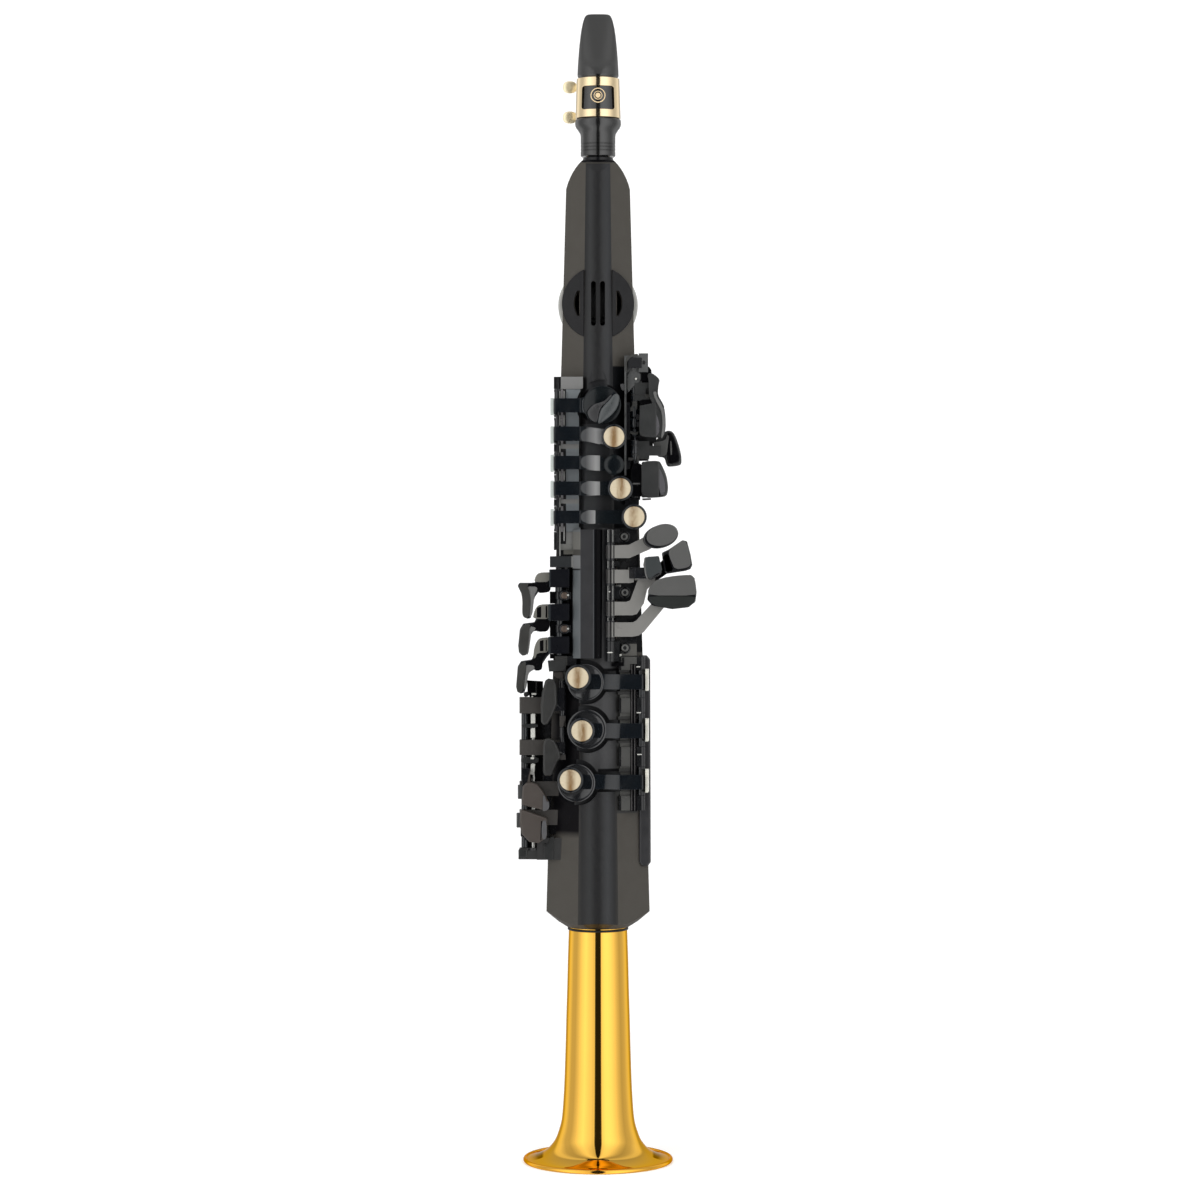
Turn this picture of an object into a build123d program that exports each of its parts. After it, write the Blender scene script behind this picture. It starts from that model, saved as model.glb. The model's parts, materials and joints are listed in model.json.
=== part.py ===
from build123d import *
import math
import os

# Digital soprano saxophone, modelled as separate pieces.
# Frame: +Z runs up the instrument from the bell rim to the mouthpiece tip,
# the key side faces -Y and the thumb side faces +Y. Origin: centre of the bell rim plane.
# All sizes are in millimetres.

# ---------------------------------------------------------------- driving sizes
TOTAL_H = 699.0           # bell rim to mouthpiece tip
BELL_R = 45.7             # outer radius of the bell rim
RIM_R = 1.45              # radius of the rolled rim wire
BELL_TUBE_R = 17.5        # bell tube where it enters the body
BODY_Z0, BODY_Z1 = 143.6, 608.5
HALF_W0, TAPER, Z_REF = 31.35, 0.0274, 153.0   # half width at Z_REF, and its loss per mm going up
RIDGE_HALF, RIDGE_Y, RIDGE_EDGE_Y = 12.2, -25.0, -19.6   # arched front ridge
PANEL_EDGE_Y, BACK_Y, BACK_R = -9.5, 26.0, 14.0
WALL = 2.4
BED_Y = -16.6             # floor of the left-hand key bed
RECESS_Y = -17.0          # floor of the right-hand key recesses
CAVITY_Y = -13.8          # front limit of the inside below the speaker

SPK_Z, SPK_WING_R, SPK_RING_R = 522.0, 21.9, 24.3
SPK_Y0, SPK_Y1 = 9.0, 21.6   # front and back of the speaker ring

ROD_R, SLEEVE_R, SLEEVE_BORE = 1.1, 2.2, 1.16
PEARL_R, CUP_R = 6.2, 7.6
RIGHT_PEARL_R, RIGHT_CUP_R = 6.32, 7.9
PEARL_GAP = 0.12          # radial play of a pearl in its cup

# upright hinge rods, (x, y)
LEFT_ROD = (-24.2, -16.0)          # left-hand stack
RIGHT_ROD = (26.0, -17.0)          # right-hand stack
TABLE_ROD = (7.5, -22.6)           # little-finger table
SIDE_ROD = (-23.2, -16.6)          # side keys
F_SHARP_ROD = (-21.4, -17.0)       # high and alternate F sharp
PINKY_ROD = (-44.5, -9.0)          # right little-finger keys
PINKY_INNER_ROD = (-39.1, -9.0)    # thicker rod beside it
PALM_ROD = (22.0, -12.4)           # palm keys
OCTAVE_PIN = (24.4, 466.0)         # crosswise octave key pin, (y, z)

# right-hand stack: disc centre (x, z), disc radius, arm z range, pearl centre, sleeve z range
RIGHT_KEYS = {
    "rh_f": ((-7.4, 293.4), 11.0, (289.3, 298.3), (-12.0, 296.5), (284.1, 300.3)),
    "rh_e": ((-6.6, 265.1), 12.0, (259.9, 268.8), (-9.7, 264.5), (254.5, 274.6)),
    "rh_d": ((-13.0, 232.8), 11.5, (229.1, 237.8), (-16.6, 234.9), (225.0, 242.1)),
}
RECESS_GAP = 1.8          # room above and below each right-hand arm

# z ranges of the felts behind the left-hand arms
LEFT_FELTS = ((454.1, 464.4), (437.0, 447.4), (420.0, 430.4), (404.5, 414.8), (387.6, 397.8))

LEVER_Y, LEVER_Z = 17.0, 318.0     # analog lever pivot
HOOK_Z = 276.0                     # middle of the thumb hook plate
POWER_Z, VOLUME_Z = 563.0, 574.0
JACK_X, JACK_Z = 9.0, 244.0        # round sockets either side of a flat one
LIG_SCREW_Z = {"ligature_screw_upper": 655.6, "ligature_screw_lower": 637.2}
LIG_SCREW_Y = 15.6

PIECES = {}


def taper(z):
    """Scale of the body section at height z."""
    return (HALF_W0 - TAPER * (z - Z_REF)) / HALF_W0


def back_y(z):
    return BACK_Y * taper(z)


# ---------------------------------------------------------------- small builders
def box(x0, x1, y0, y1, z0, z1):
    centre = Pos((x0 + x1) / 2, (y0 + y1) / 2, (z0 + z1) / 2)
    return centre * Box(abs(x1 - x0), abs(y1 - y0), abs(z1 - z0))


def rod_z(x, y, z0, z1, radius):
    return Pos(x, y, (z0 + z1) / 2) * Cylinder(radius, z1 - z0)


def rod_y(x, z, y0, y1, radius):
    return Pos(x, (y0 + y1) / 2, z) * (Rot(90, 0, 0) * Cylinder(radius, y1 - y0))


def rod_x(x0, x1, y, z, radius):
    return Pos((x0 + x1) / 2, y, z) * (Rot(0, 90, 0) * Cylinder(radius, x1 - x0))


def poly_face(points, radius=0.0):
    """Polygon with rounded corners; smaller radii are tried where the kernel refuses one."""
    face = Face(Wire.make_polygon([Vector(*p) for p in points], close=True))
    if radius > 0:
        for trial in (radius, radius * 0.6, radius * 0.35):
            try:
                rounded = face.fillet_2d(trial, face.vertices())
                if rounded.is_valid:
                    return rounded
            except Exception:   # guards corners too tight for the radius
                pass
    return face


def prism_y(points, y0, y1, radius=0.0):
    """Outline in the front view (x, z), from y0 to y1."""
    face = poly_face([(x, y0, z) for x, z in points], radius)
    return Solid.extrude(face, Vector(0, y1 - y0, 0))


def prism_z(points, z0, z1):
    """Outline seen from above (x, y), from z0 to z1."""
    return Solid.extrude(poly_face([(x, y, z0) for x, y in points]), Vector(0, 0, z1 - z0))


def prism_x(points, x0, x1):
    """Outline seen from the side (y, z), from x0 to x1."""
    return Solid.extrude(poly_face([(x0, y, z) for y, z in points]), Vector(x1 - x0, 0, 0))


def turned(points):
    """Outline (radius, z) revolved about Z."""
    return Solid.revolve(poly_face([(r, 0, z) for r, z in points]), 360, Axis.Z)


def single(shape):
    """The bare solid of a shape that has only one."""
    solids = shape.solids()
    return solids[0] if len(solids) == 1 else shape


def large_solids(shape, min_volume=30):
    return [s for s in shape.solids() if s.volume > min_volume]


def joined(shapes):
    result = shapes[0]
    for shape in shapes[1:]:
        result = result + shape
    return result


def cut_each(shape, tools):
    for tool in tools:
        shape = shape - tool
    return shape


# ---------------------------------------------------------------- edge rounding
def soften(shape, radius, pick):
    """Rounds the picked edges; smaller radii are tried next, then the sharp shape is kept."""
    for trial in (radius, radius * 0.6, radius * 0.3):
        try:
            edges = pick(shape)
            if not edges:
                return shape
            result = fillet(edges, trial)
            same_count = len(result.solids()) == len(shape.solids())
            if result.is_valid and result.volume > 0 and same_count:
                return result
        except Exception:   # guards fillets the kernel cannot build
            pass
    return shape


def edges_where(test):
    return lambda shape: [e for e in shape.edges() if test(e)]


def circles_where(test):
    return lambda shape: [e for e in shape.edges().filter_by(GeomType.CIRCLE) if test(e)]


def circles_of_radius(radius):
    return circles_where(lambda e: abs(e.radius - radius) < 0.01)


def circles_at_y(y, tol=0.02):
    return circles_where(lambda e: abs(e.center().Y - y) < tol)


def edges_at_y(y, tol=0.02):
    return edges_where(lambda e: abs(e.bounding_box().min.Y - y) < tol
                       and abs(e.bounding_box().max.Y - y) < tol)


def extent(edge):
    return edge.bounding_box().size


# ---------------------------------------------------------------- body skin
def section_wire(z, ridge_half, ridge_y, ridge_edge_y, half_w, panel_y, rear_y, corner_r):
    """Body section: arched front ridge, slanted panels, rounded back corners."""
    diagonal = 0.7071 * corner_r
    flat_x, side_y = half_w - corner_r, rear_y - corner_r

    def line(x0, y0, x1, y1):
        return Edge.make_line(Vector(x0, y0, z), Vector(x1, y1, z))

    def arc(x0, y0, xm, ym, x1, y1):
        return Edge.make_three_point_arc(Vector(x0, y0, z), Vector(xm, ym, z), Vector(x1, y1, z))

    return Wire([
        arc(-ridge_half, ridge_edge_y, 0, ridge_y, ridge_half, ridge_edge_y),
        line(ridge_half, ridge_edge_y, half_w, panel_y),
        line(half_w, panel_y, half_w, side_y),
        arc(half_w, side_y, flat_x + diagonal, side_y + diagonal, flat_x, rear_y),
        line(flat_x, rear_y, -flat_x, rear_y),
        arc(-flat_x, rear_y, -flat_x - diagonal, side_y + diagonal, -half_w, side_y),
        line(-half_w, side_y, -half_w, panel_y),
        line(-half_w, panel_y, -ridge_half, ridge_edge_y),
    ])


def outer_section(z):
    k = taper(z)
    return section_wire(z, RIDGE_HALF * k, RIDGE_Y * k, RIDGE_EDGE_Y * k, HALF_W0 * k,
                        PANEL_EDGE_Y * k, BACK_Y * k, BACK_R * k)


def inner_section(z):
    k = taper(z)
    return section_wire(z, RIDGE_HALF * k - 1.0, RIDGE_Y * k + WALL,
                        RIDGE_EDGE_Y * k + WALL + 0.4, HALF_W0 * k - WALL,
                        PANEL_EDGE_Y * k + 0.6, BACK_Y * k - WALL, BACK_R * k - 1.6)


def make_body_skin():
    """Solid tapered body, shaped by a front outline, a side outline and a turned foot."""
    prismoid = Solid.make_loft([outer_section(140.0), outer_section(612.0)], ruled=True)

    # curved shoulder, (x, z)
    shoulder = [(-9.3, BODY_Z1), (-12.2, 605.6), (-15.9, 600.2), (-18.0, 595.6), (-19.5, 590.6)]
    # path from the left shoulder round the foot to the right one, (x, z)
    around = [(-19.5, 590.6), (-40, 590.0), (-40, 130), (40, 130), (40, 590.0), (19.5, 590.6)]

    def point(x, z):
        return Vector(x, -40, z)

    edges = [Edge.make_spline([point(x, z) for x, z in shoulder])]
    for start, end in zip(around, around[1:]):
        edges.append(Edge.make_line(point(*start), point(*end)))
    edges.append(Edge.make_spline([point(-x, z) for x, z in reversed(shoulder)]))
    edges.append(Edge.make_line(point(9.3, BODY_Z1), point(-9.3, BODY_Z1)))
    silhouette = Solid.extrude(Face(Wire(edges)), Vector(0, 80, 0))

    # side outline: the top slopes into the neck collar
    side_cut = prism_x([
        (-9.4, 612), (-9.4, 608.5), (-12.0, 606.2), (-15.6, 600.5), (-40, 596), (-40, 130),
        (40, 130), (40, 590), (17, 596), (12, 604.5), (9.4, 608.5), (9.4, 612),
    ], -40, 40)
    foot = turned([(0, BODY_Z0), (18.9, BODY_Z0), (24.5, 147.2), (32.2, 153.6),
                   (60, 172), (60, 640), (0, 640)])
    return single(prismoid & silhouette & side_cut & foot)


def make_cavity():
    cavity = Solid.make_loft([inner_section(152.0), inner_section(598.0)], ruled=True)
    cavity = cavity - box(-60, 60, -60, CAVITY_Y, 140, 484)
    cavity = cavity & prism_y([(-16.2, 590), (-10.5, 600.5), (10.5, 600.5), (16.2, 590),
                               (40, 584), (40, 152), (-40, 152), (-40, 584)], -40, 40)
    return cavity & prism_x([(-13, 596), (-40, 586), (-40, 152), (40, 152),
                             (40, 586), (12.5, 597), (-8, 600)], -40, 40)


def make_key_bed():
    """Cutter for the left-hand bed and the three right-hand recesses in the ridge."""
    bed = rod_y(2.4, 460.2, -40, BED_Y, 15.6) + box(-11.5, 15.5, -40, BED_Y, 386.5, 462)
    for (disc_x, disc_z), disc_r, (arm_z0, arm_z1), _, _ in RIGHT_KEYS.values():
        bed = (bed + rod_y(disc_x, disc_z, -40, RECESS_Y, disc_r + 2.4)
               + box(disc_x, 20.5, -40, RECESS_Y, arm_z0 - RECESS_GAP, arm_z1 + RECESS_GAP))
    return bed


body_skin = make_body_skin()
key_bed = make_key_bed()


def bore_and_slot_cutters():
    """Neck bore, bell bore and the two sound slots in the ridge."""
    cutters = [
        rod_z(0, 0, 590, 620, 6.05),
        rod_z(0, 0, 130, 176, BELL_TUBE_R + 0.05),
        turned([(0, 142), (17.87, 142), (17.84, 143), (17.56, 147.1), (0, 147.1)]),
    ]
    half, z0, z1 = 1.45, 509.6, 533.7
    for x in (-2.75, 2.75):
        cutters.append(box(x - half, x + half, -30, -9, z0, z1)
                       + rod_y(x, z1, -30, -9, half) + rod_y(x, z0, -30, -9, half))
    return cutters


# ---------------------------------------------------------------- speaker
def speaker_wing(side):
    """Plate lying proud of one side panel, and the cutters it needs in the shell."""
    k = taper(SPK_Z)
    edge_x, edge_y = RIDGE_HALF * k, RIDGE_EDGE_Y * k
    run_x, run_y = HALF_W0 * k - edge_x, PANEL_EDGE_Y * k - edge_y
    length = math.hypot(run_x, run_y)
    normal_x, normal_y = run_y / length, -run_x / length   # out of the panel, toward the front
    near_x, near_y = edge_x + 0.55, edge_y + 0.1
    reach = 1.22           # plate width over panel width
    far_x, far_y = edge_x + run_x * reach, edge_y + run_y * reach
    proud, sunk = 1.3, 2.2
    plate = prism_z([
        (side * near_x, near_y + normal_y * proud * 0.6),
        (side * (far_x + normal_x * proud), far_y + normal_y * proud),
        (side * (far_x - normal_x * sunk), far_y - normal_y * sunk),
        (side * (near_x - normal_x * sunk), near_y - normal_y * sunk),
    ], SPK_Z - 30, SPK_Z + 30)
    seat = single(plate & rod_y(0, SPK_Z, -60, 60, SPK_WING_R + 0.12))
    plate = single(plate & rod_y(0, SPK_Z, -30, 3.0, SPK_WING_R))
    # half-moon slot, slightly smaller through the shell
    moon = (rod_y(0, SPK_Z, -60, 60, 14.6)
            & box(side * 10.9, side * 20, -60, 60, SPK_Z - 7.6, SPK_Z + 7.6))
    shell_moon = (rod_y(0, SPK_Z, -30, 5, 14.0)
                  & box(side * 11.4, side * 20, -40, 5, SPK_Z - 7.0, SPK_Z + 7.0))
    return single(plate - moon), [seat, shell_moon]


def speaker_ring():
    ring = (rod_y(0, SPK_Z, SPK_Y0, SPK_Y1, SPK_RING_R)
            - rod_y(0, SPK_Z, SPK_Y0 - 1, SPK_Y1 + 1, 20.6))
    ring = ring - rod_y(0, SPK_Z, SPK_Y1 - 2.6, SPK_Y1 + 1, 22.2)   # ledge for the grille
    return single(soften(ring, 1.4, circles_of_radius(SPK_RING_R)))


def speaker_grille():
    hole_y0, hole_y1, hole_r = SPK_Y1 - 4, SPK_Y1, 0.85
    holes = []
    # ring radius, number of holes
    for ring_r, count in ((3.4, 6), (6.6, 12), (9.8, 18), (13.0, 24), (16.2, 30), (19.2, 36)):
        for i in range(count):
            angle = 2 * math.pi * i / count
            holes.append(rod_y(ring_r * math.cos(angle), SPK_Z + ring_r * math.sin(angle),
                               hole_y0, hole_y1, hole_r))
    holes.append(rod_y(0, SPK_Z, hole_y0, hole_y1, hole_r))
    disc = rod_y(0, SPK_Z, SPK_Y1 - 2.55, SPK_Y1 - 1.0, 22.1)
    return single(disc - Compound(children=holes))


def speaker_driver():
    cone = Solid.make_cone(18.2, 7.0, 5.0, Plane(origin=(0, 18.45, SPK_Z), z_dir=(0, -1, 0)))
    driver = rod_y(0, SPK_Z, 12.6, 18.4, 20.4) - cone
    return single(driver + rod_y(0, SPK_Z, 3.5, 12.8, 11.0) + rod_y(0, SPK_Z, 1.0, 3.6, 8.5))


PIECES["speaker_ring"] = speaker_ring()
PIECES["speaker_grille"] = speaker_grille()
PIECES["speaker_driver"] = speaker_driver()

shell = body_skin - make_cavity() - key_bed
shell = cut_each(shell, bore_and_slot_cutters())
wings = []
for side in (-1, 1):
    wing, wing_cutters = speaker_wing(side)
    wings.append(wing)
    shell = cut_each(shell, wing_cutters)
PIECES["speaker_wings"] = joined(wings)
shell = shell - rod_y(0, SPK_Z, SPK_Y0 - 0.05, 60, SPK_RING_R + 0.08)


# ---------------------------------------------------------------- bell
def make_bell():
    # flare outlines, (radius, z): outer going down, inner going up
    outer = [(17.75, 143.0), (18.4, 123.5), (19.4, 87.0), (20.5, 50.0), (21.7, 30.0),
             (24.2, 18.0), (28.6, 9.6), (35.0, 4.6), (41.6, 2.4), (44.4, 2.0)]
    inner = [(44.4, 1.05), (41.4, 1.4), (34.5, 3.7), (27.9, 8.8), (23.4, 17.4),
             (20.8, 29.8), (19.6, 50.0), (18.5, 87.0), (17.5, 123.5), (16.85, 143.0)]

    def line(start, end):
        return Edge.make_line(Vector(start[0], 0, start[1]), Vector(end[0], 0, end[1]))

    def spline(points):
        return Edge.make_spline([Vector(r, 0, z) for r, z in points])

    top_in, top_out, tube_end = (16.6, 172.0), (BELL_TUBE_R, 172.0), (BELL_TUBE_R, 147.0)
    profile = Wire([
        line(top_in, top_out), line(top_out, tube_end), line(tube_end, outer[0]),
        spline(outer), line(outer[-1], inner[0]), spline(inner), line(inner[-1], top_in),
    ])
    rim = Pos(0, 0, 1.3) * Torus(BELL_R - RIM_R, RIM_R)
    rim = rim - box(-60, 60, -60, 60, -5, 0)   # flat on the rim plane
    return single(Solid.revolve(Face(profile), 360, Axis.Z) + rim)


PIECES["bell"] = make_bell()


# ---------------------------------------------------------------- neck and mouthpiece
def neck_tenon():
    tenon = rod_z(0, 0, 596.0, 652.0, 6.0) + rod_z(0, 0, BODY_Z1 + 0.02, 610.8, 9.2)
    tenon = soften(tenon, 0.5, circles_of_radius(9.2))
    return single(tenon - rod_z(0, 0, 590, 660, 4.4))


def neck_cork():
    cork = rod_z(0, 0, 612.0, 648.0, 7.6) - rod_z(0, 0, 600, 660, 6.02)
    return single(soften(cork, 0.6, circles_of_radius(7.6)))


def mouthpiece():
    # (radius, z)
    piece = turned([
        (0, 611.4), (10.4, 611.4), (10.5, 612.2), (10.5, 624.0), (11.2, 626.6),
        (13.3, 629.6), (13.95, 631.4), (13.95, 633.2), (13.2, 633.9), (12.85, 634.2),
        (11.75, 659.2), (11.9, 660.2), (11.7, 668.0), (11.3, 676.0), (10.9, 682.0),
        (10.1, 689.0), (8.6, 696.0), (6.6, 698.4), (4.0, TOTAL_H), (0, TOTAL_H),
    ])
    for z in (614.6, 616.6, 618.6):   # fine grooves round the shank
        piece = piece - (rod_z(0, 0, z, z + 0.45, 12) - rod_z(0, 0, z - 1, z + 2, 10.28))
    # beak slope on the front, flat reed table on the back, (y, z)
    piece = piece & prism_x([
        (-20, 600), (-20, 664.0), (-11.6, 664.5), (-8.6, 667.0), (-4.6, 673.5), (0.4, 683.0),
        (5.2, 693.5), (6.6, 700), (8.6, 700), (8.9, 628.0), (20, 627.9), (20, 600),
    ], -20, 20)
    # bore, throat and window
    piece = piece - rod_z(0, 0, 600, 652.5, 7.62) - rod_z(0, 0, 652.0, 672, 6.2)
    window = [(-4.6, 657), (4.6, 657), (5.6, 692.5), (-5.6, 692.5)]
    return single(piece - prism_y(window, 2.5, 12, 1.2))


def make_reed():
    blade = prism_y([(-6.2, 629.5), (6.2, 629.5), (6.6, 694.5), (5.4, 698.0), (0, TOTAL_H),
                     (-5.4, 698.0), (-6.6, 694.5)], 8.0, 12.5)
    return single(blade & prism_x([(8.94, 629.5), (12.1, 629.5), (12.1, 662.0), (11.0, 668.0),
                                   (8.98, 698.9), (8.72, 698.9)], -20, 20))


def ligature_band():
    z0, z1 = 634.6, 658.4
    band = turned([(12.92, z0), (13.75, z0), (13.0, z1), (12.0, z1), (11.88, z1)])
    band = band - box(-8.8, 8.8, 8, 20, 630, 662)
    strap = box(-9.4, 9.4, 12.4, 13.6, z0, z1) - box(-2.4, 2.4, 10, 20, 630, 662)
    sides = box(-9.4, -8.4, 8.6, 12.6, z0, z1) + box(8.4, 9.4, 8.6, 12.6, z0, z1)
    band = band + strap + sides
    # front window
    band = band - prism_y([(-10.0, 639.0), (10.0, 639.0), (9.6, 653.2), (-9.6, 653.2)],
                          -20, 0, 1.6)
    for z in LIG_SCREW_Z.values():
        lug = (rod_x(-8.6, -3.0, LIG_SCREW_Y, z, 2.4) + rod_x(3.0, 8.6, LIG_SCREW_Y, z, 2.4)
               + box(-8.6, -3.0, 13.0, LIG_SCREW_Y, z - 2.2, z + 2.2)
               + box(3.0, 8.6, 13.0, LIG_SCREW_Y, z - 2.2, z + 2.2))
        band = band + lug
        band = band - rod_x(-12, 12, LIG_SCREW_Y, z, 1.36)
    # clear the mouthpiece cone, but not the strap behind the reed
    clearance = turned([(0, 634.0), (12.9, 634.0), (11.82, 659.0), (0, 659.0)])
    return single(band - (clearance - box(-40, 40, 8.9, 40, 600, 700)))


def ligature_screw(z):
    lower = [(-21.0, -2.2), (-19.2, -3.8), (-14.6, -3.7), (-13.2, -1.8)]   # (x, dz)
    outline = lower + [(x, -dz) for x, dz in reversed(lower)]
    head = prism_y([(x, z + dz) for x, dz in outline], 14.6, 16.6, 1.2)
    head = soften(head, 0.5, edges_where(lambda e: extent(e).Y < 0.01))
    return single(head + rod_x(-13.4, -8.8, LIG_SCREW_Y, z, 1.9)
                  + rod_x(-9, 10.4, LIG_SCREW_Y, z, 1.3))


PIECES["neck_tenon"] = neck_tenon()
PIECES["neck_cork"] = neck_cork()
PIECES["mouthpiece"] = mouthpiece()
PIECES["reed"] = make_reed()
PIECES["ligature_band"] = ligature_band()
for name, z in LIG_SCREW_Z.items():
    PIECES[name] = ligature_screw(z)


# ---------------------------------------------------------------- hinge rods and key parts
PIECES["hinge_rods"] = Compound(children=[
    rod_z(*LEFT_ROD, 373.4, 477.0, ROD_R),
    rod_z(*RIGHT_ROD, 216.2, 308.4, ROD_R),
    rod_z(*TABLE_ROD, 306.2, 385.4, ROD_R),
    rod_z(*SIDE_ROD, 303.6, 368.8, ROD_R),
    rod_z(*F_SHARP_ROD, 246.6, 299.6, ROD_R),
    rod_z(*PINKY_ROD, 186.0, 283.6, ROD_R),
    rod_z(*PINKY_INNER_ROD, 186.0, 283.6, 1.5),
    rod_z(*PALM_ROD, 400.4, 490.4, ROD_R),
    rod_x(-10.6, 10.6, *OCTAVE_PIN, ROD_R),
])


def sleeve(rod, span, radius=SLEEVE_R):
    return rod_z(*rod, *span, radius)


def bored(key, rod, span):
    return single(key - rod_z(*rod, span[0] - 30, span[1] + 30, SLEEVE_BORE))


def pad(outline, y_front, y_back, corner_r, edge_r):
    """A key touch: rounded outline, softened front edge."""
    return soften(prism_y(outline, y_front, y_back, corner_r), edge_r, edges_at_y(y_front))


def disc_y(x, z, y_front, y_back, radius, edge_r):
    """A disc facing the front, with its front edge softened."""
    return soften(rod_y(x, z, y_front, y_back, radius), edge_r, circles_at_y(y_front))


def pearl(x, z, y_rim, radius):
    touch = rod_y(x, z, y_rim - 0.35, y_rim + 1.68, radius)
    touch = touch - Pos(x, y_rim - 24.55, z) * Sphere(25.0)   # finger dish
    return single(soften(touch, 0.3,
                         circles_where(lambda e: e.center().Y < y_rim and e.radius > 4)))


def pearl_pocket(x, z, y_rim, radius):
    return rod_y(x, z, y_rim - 1, y_rim + 1.7, radius + PEARL_GAP)


# ---------------------------------------------------------------- left-hand stack keys
LEFT_OUTER_Y = -27.2     # front face of the outer arm
LEFT_INNER_Y = -24.8     # front face of the inner arm
LEFT_BACK_Y = -22.5      # back face of the inner arm
LEFT_RIM_Y = -29.4       # front of the pearl cups


def left_key(outline, x_end, span, touch):
    """Arm bent over its rod, trimmed to a front outline (x, z), with its touch."""
    profile = [   # seen from above, (x, y)
        (-26.4, -15.2), (-26.5, -26.3), (-25.7, LEFT_OUTER_Y), (-11.0, LEFT_OUTER_Y),
        (-8.6, -26.5), (-5.6, -25.4), (-2.4, LEFT_INNER_Y), (x_end, LEFT_INNER_Y),
        (x_end, LEFT_BACK_Y), (-4, LEFT_BACK_Y), (-9, -21.6), (-19.6, -20.2), (-21.6, -18.6),
        (-22.0, -16.0), (-24.2, -14.2),
    ]
    arm = prism_z(profile, span[0] - 12, span[1] + 12)
    arm = single(arm & prism_y(outline, -40, 0))
    return bored(arm + sleeve(LEFT_ROD, span) + touch, LEFT_ROD, span)


def front_f_touch():
    """Round base with a comma-shaped touch."""
    base = disc_y(2.4, 460.2, -25.6, LEFT_BACK_Y, 11.4, 0.9)
    comma = prism_y([
        (-5.8, 456.4), (-2.2, 456.0), (2.0, 458.2), (5.6, 462.4), (8.6, 467.4), (10.4, 467.8),
        (11.8, 465.4), (12.0, 461.4), (10.6, 456.6), (8.0, 452.6), (4.4, 450.0), (0.6, 449.6),
        (-3.0, 451.2), (-5.6, 453.8),
    ], -29.0, -25.0)
    return base + (comma & rod_y(2.4, 460.2, -40, 0, 11.0))


def bis_touch():
    """Small disc with a shallow spherical dish."""
    disc = disc_y(9.6, 424.3, -26.6, LEFT_BACK_Y, 6.1, 0.8)
    return disc - (Pos(9.6, -66.0, 424.3) * Sphere(40.0))


PIECES["front_f_key"] = left_key(
    [(-27, 455.7), (-27, 464.1), (-10.6, 464.1), (-6.0, 466.0), (4, 468), (4, 452),
     (-6.0, 454.4), (-10.6, 455.7)],
    4, (453.0, 469.9), front_f_touch())
PIECES["bis_key"] = left_key(
    [(-27, 421.6), (-27, 429.6), (-10.8, 429.6), (-5.0, 430.0), (1.2, 429.8), (4.4, 427.6),
     (9.6, 427.6), (9.6, 421.0), (4.4, 421.0), (1.2, 420.6), (-5.0, 421.0), (-10.8, 421.6)],
    9.6, (418.5, 432.0), bis_touch())

# name: arm outline (x, z), arm end x, sleeve z range, pearl centre (x, z)
LEFT_PEARL_KEYS = {
    "b_key": (
        [(-27, 438.6), (-27, 447.2), (-10.6, 447.2), (-5.0, 446.9), (2.4, 445.8), (10, 446.4),
         (10, 435.6), (2.4, 436.2), (-5.0, 438.0), (-10.6, 438.6)],
        10, (437.0, 452.8), (9.6, 441.0)),
    "a_key": (
        [(-27, 406.0), (-27, 414.2), (-10.8, 414.2), (-6, 414.6), (0, 414.2), (13.4, 414.4),
         (13.4, 405.8), (0, 406.0), (-6, 405.6), (-10.8, 406.0)],
        13.4, (403.8, 418.3), (13.4, 410.0)),
    "g_key": (
        [(-27, 389.1), (-27, 396.7), (-10.8, 396.7), (-6, 397.1), (0, 396.8), (21.7, 397.2),
         (21.7, 388.6), (0, 389.0), (-6, 388.7), (-10.8, 389.1)],
        21.7, (384.1, 399.4), (21.7, 393.0)),
}
for name, (outline, x_end, span, centre) in LEFT_PEARL_KEYS.items():
    cup = disc_y(*centre, LEFT_RIM_Y, LEFT_BACK_Y, CUP_R, 0.7)
    cup = cup - pearl_pocket(*centre, LEFT_RIM_Y, PEARL_R)
    PIECES[name] = left_key(outline, x_end, span, cup)
    PIECES[name + "_pearl"] = pearl(*centre, LEFT_RIM_Y, PEARL_R)

# ---------------------------------------------------------------- right-hand stack keys
RIGHT_RIM_Y = -30.2      # front of the pearl cups
RIGHT_LID_Y = -24.9      # front of the arms and lids
RIGHT_BACK_Y = -21.4


def right_key(disc_centre, disc_r, arm_span, pearl_centre, span):
    disc_x, disc_z = disc_centre
    arm = prism_z([   # seen from above, (x, y)
        (27.4, -15.6), (27.2, -26.6), (26.4, -27.6), (13.6, -27.6), (10.6, -26.8),
        (6.6, -25.3), (3.4, RIGHT_LID_Y), (disc_x, RIGHT_LID_Y), (disc_x, RIGHT_BACK_Y),
        (4.0, RIGHT_BACK_Y), (10.0, -21.8), (20.0, -21.6), (22.8, -20.2), (23.8, -17.0),
        (26.0, -15.0),
    ], *arm_span)
    lid = disc_y(disc_x, disc_z, RIGHT_LID_Y, RIGHT_BACK_Y, disc_r, 1.2)
    lid = lid - (Pos(disc_x, RIGHT_LID_Y - 28.4, disc_z) * Sphere(30.0))   # shallow dish
    cup = disc_y(*pearl_centre, RIGHT_RIM_Y, -24.0, RIGHT_CUP_R, 0.8)
    key = arm + lid + cup + sleeve(RIGHT_ROD, span)
    key = key - pearl_pocket(*pearl_centre, RIGHT_RIM_Y, RIGHT_PEARL_R)
    return bored(key, RIGHT_ROD, span)


for name, sizes in RIGHT_KEYS.items():
    PIECES[name + "_key"] = right_key(*sizes)
    PIECES[name + "_key_pearl"] = pearl(*sizes[3], RIGHT_RIM_Y, RIGHT_PEARL_R)

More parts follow.
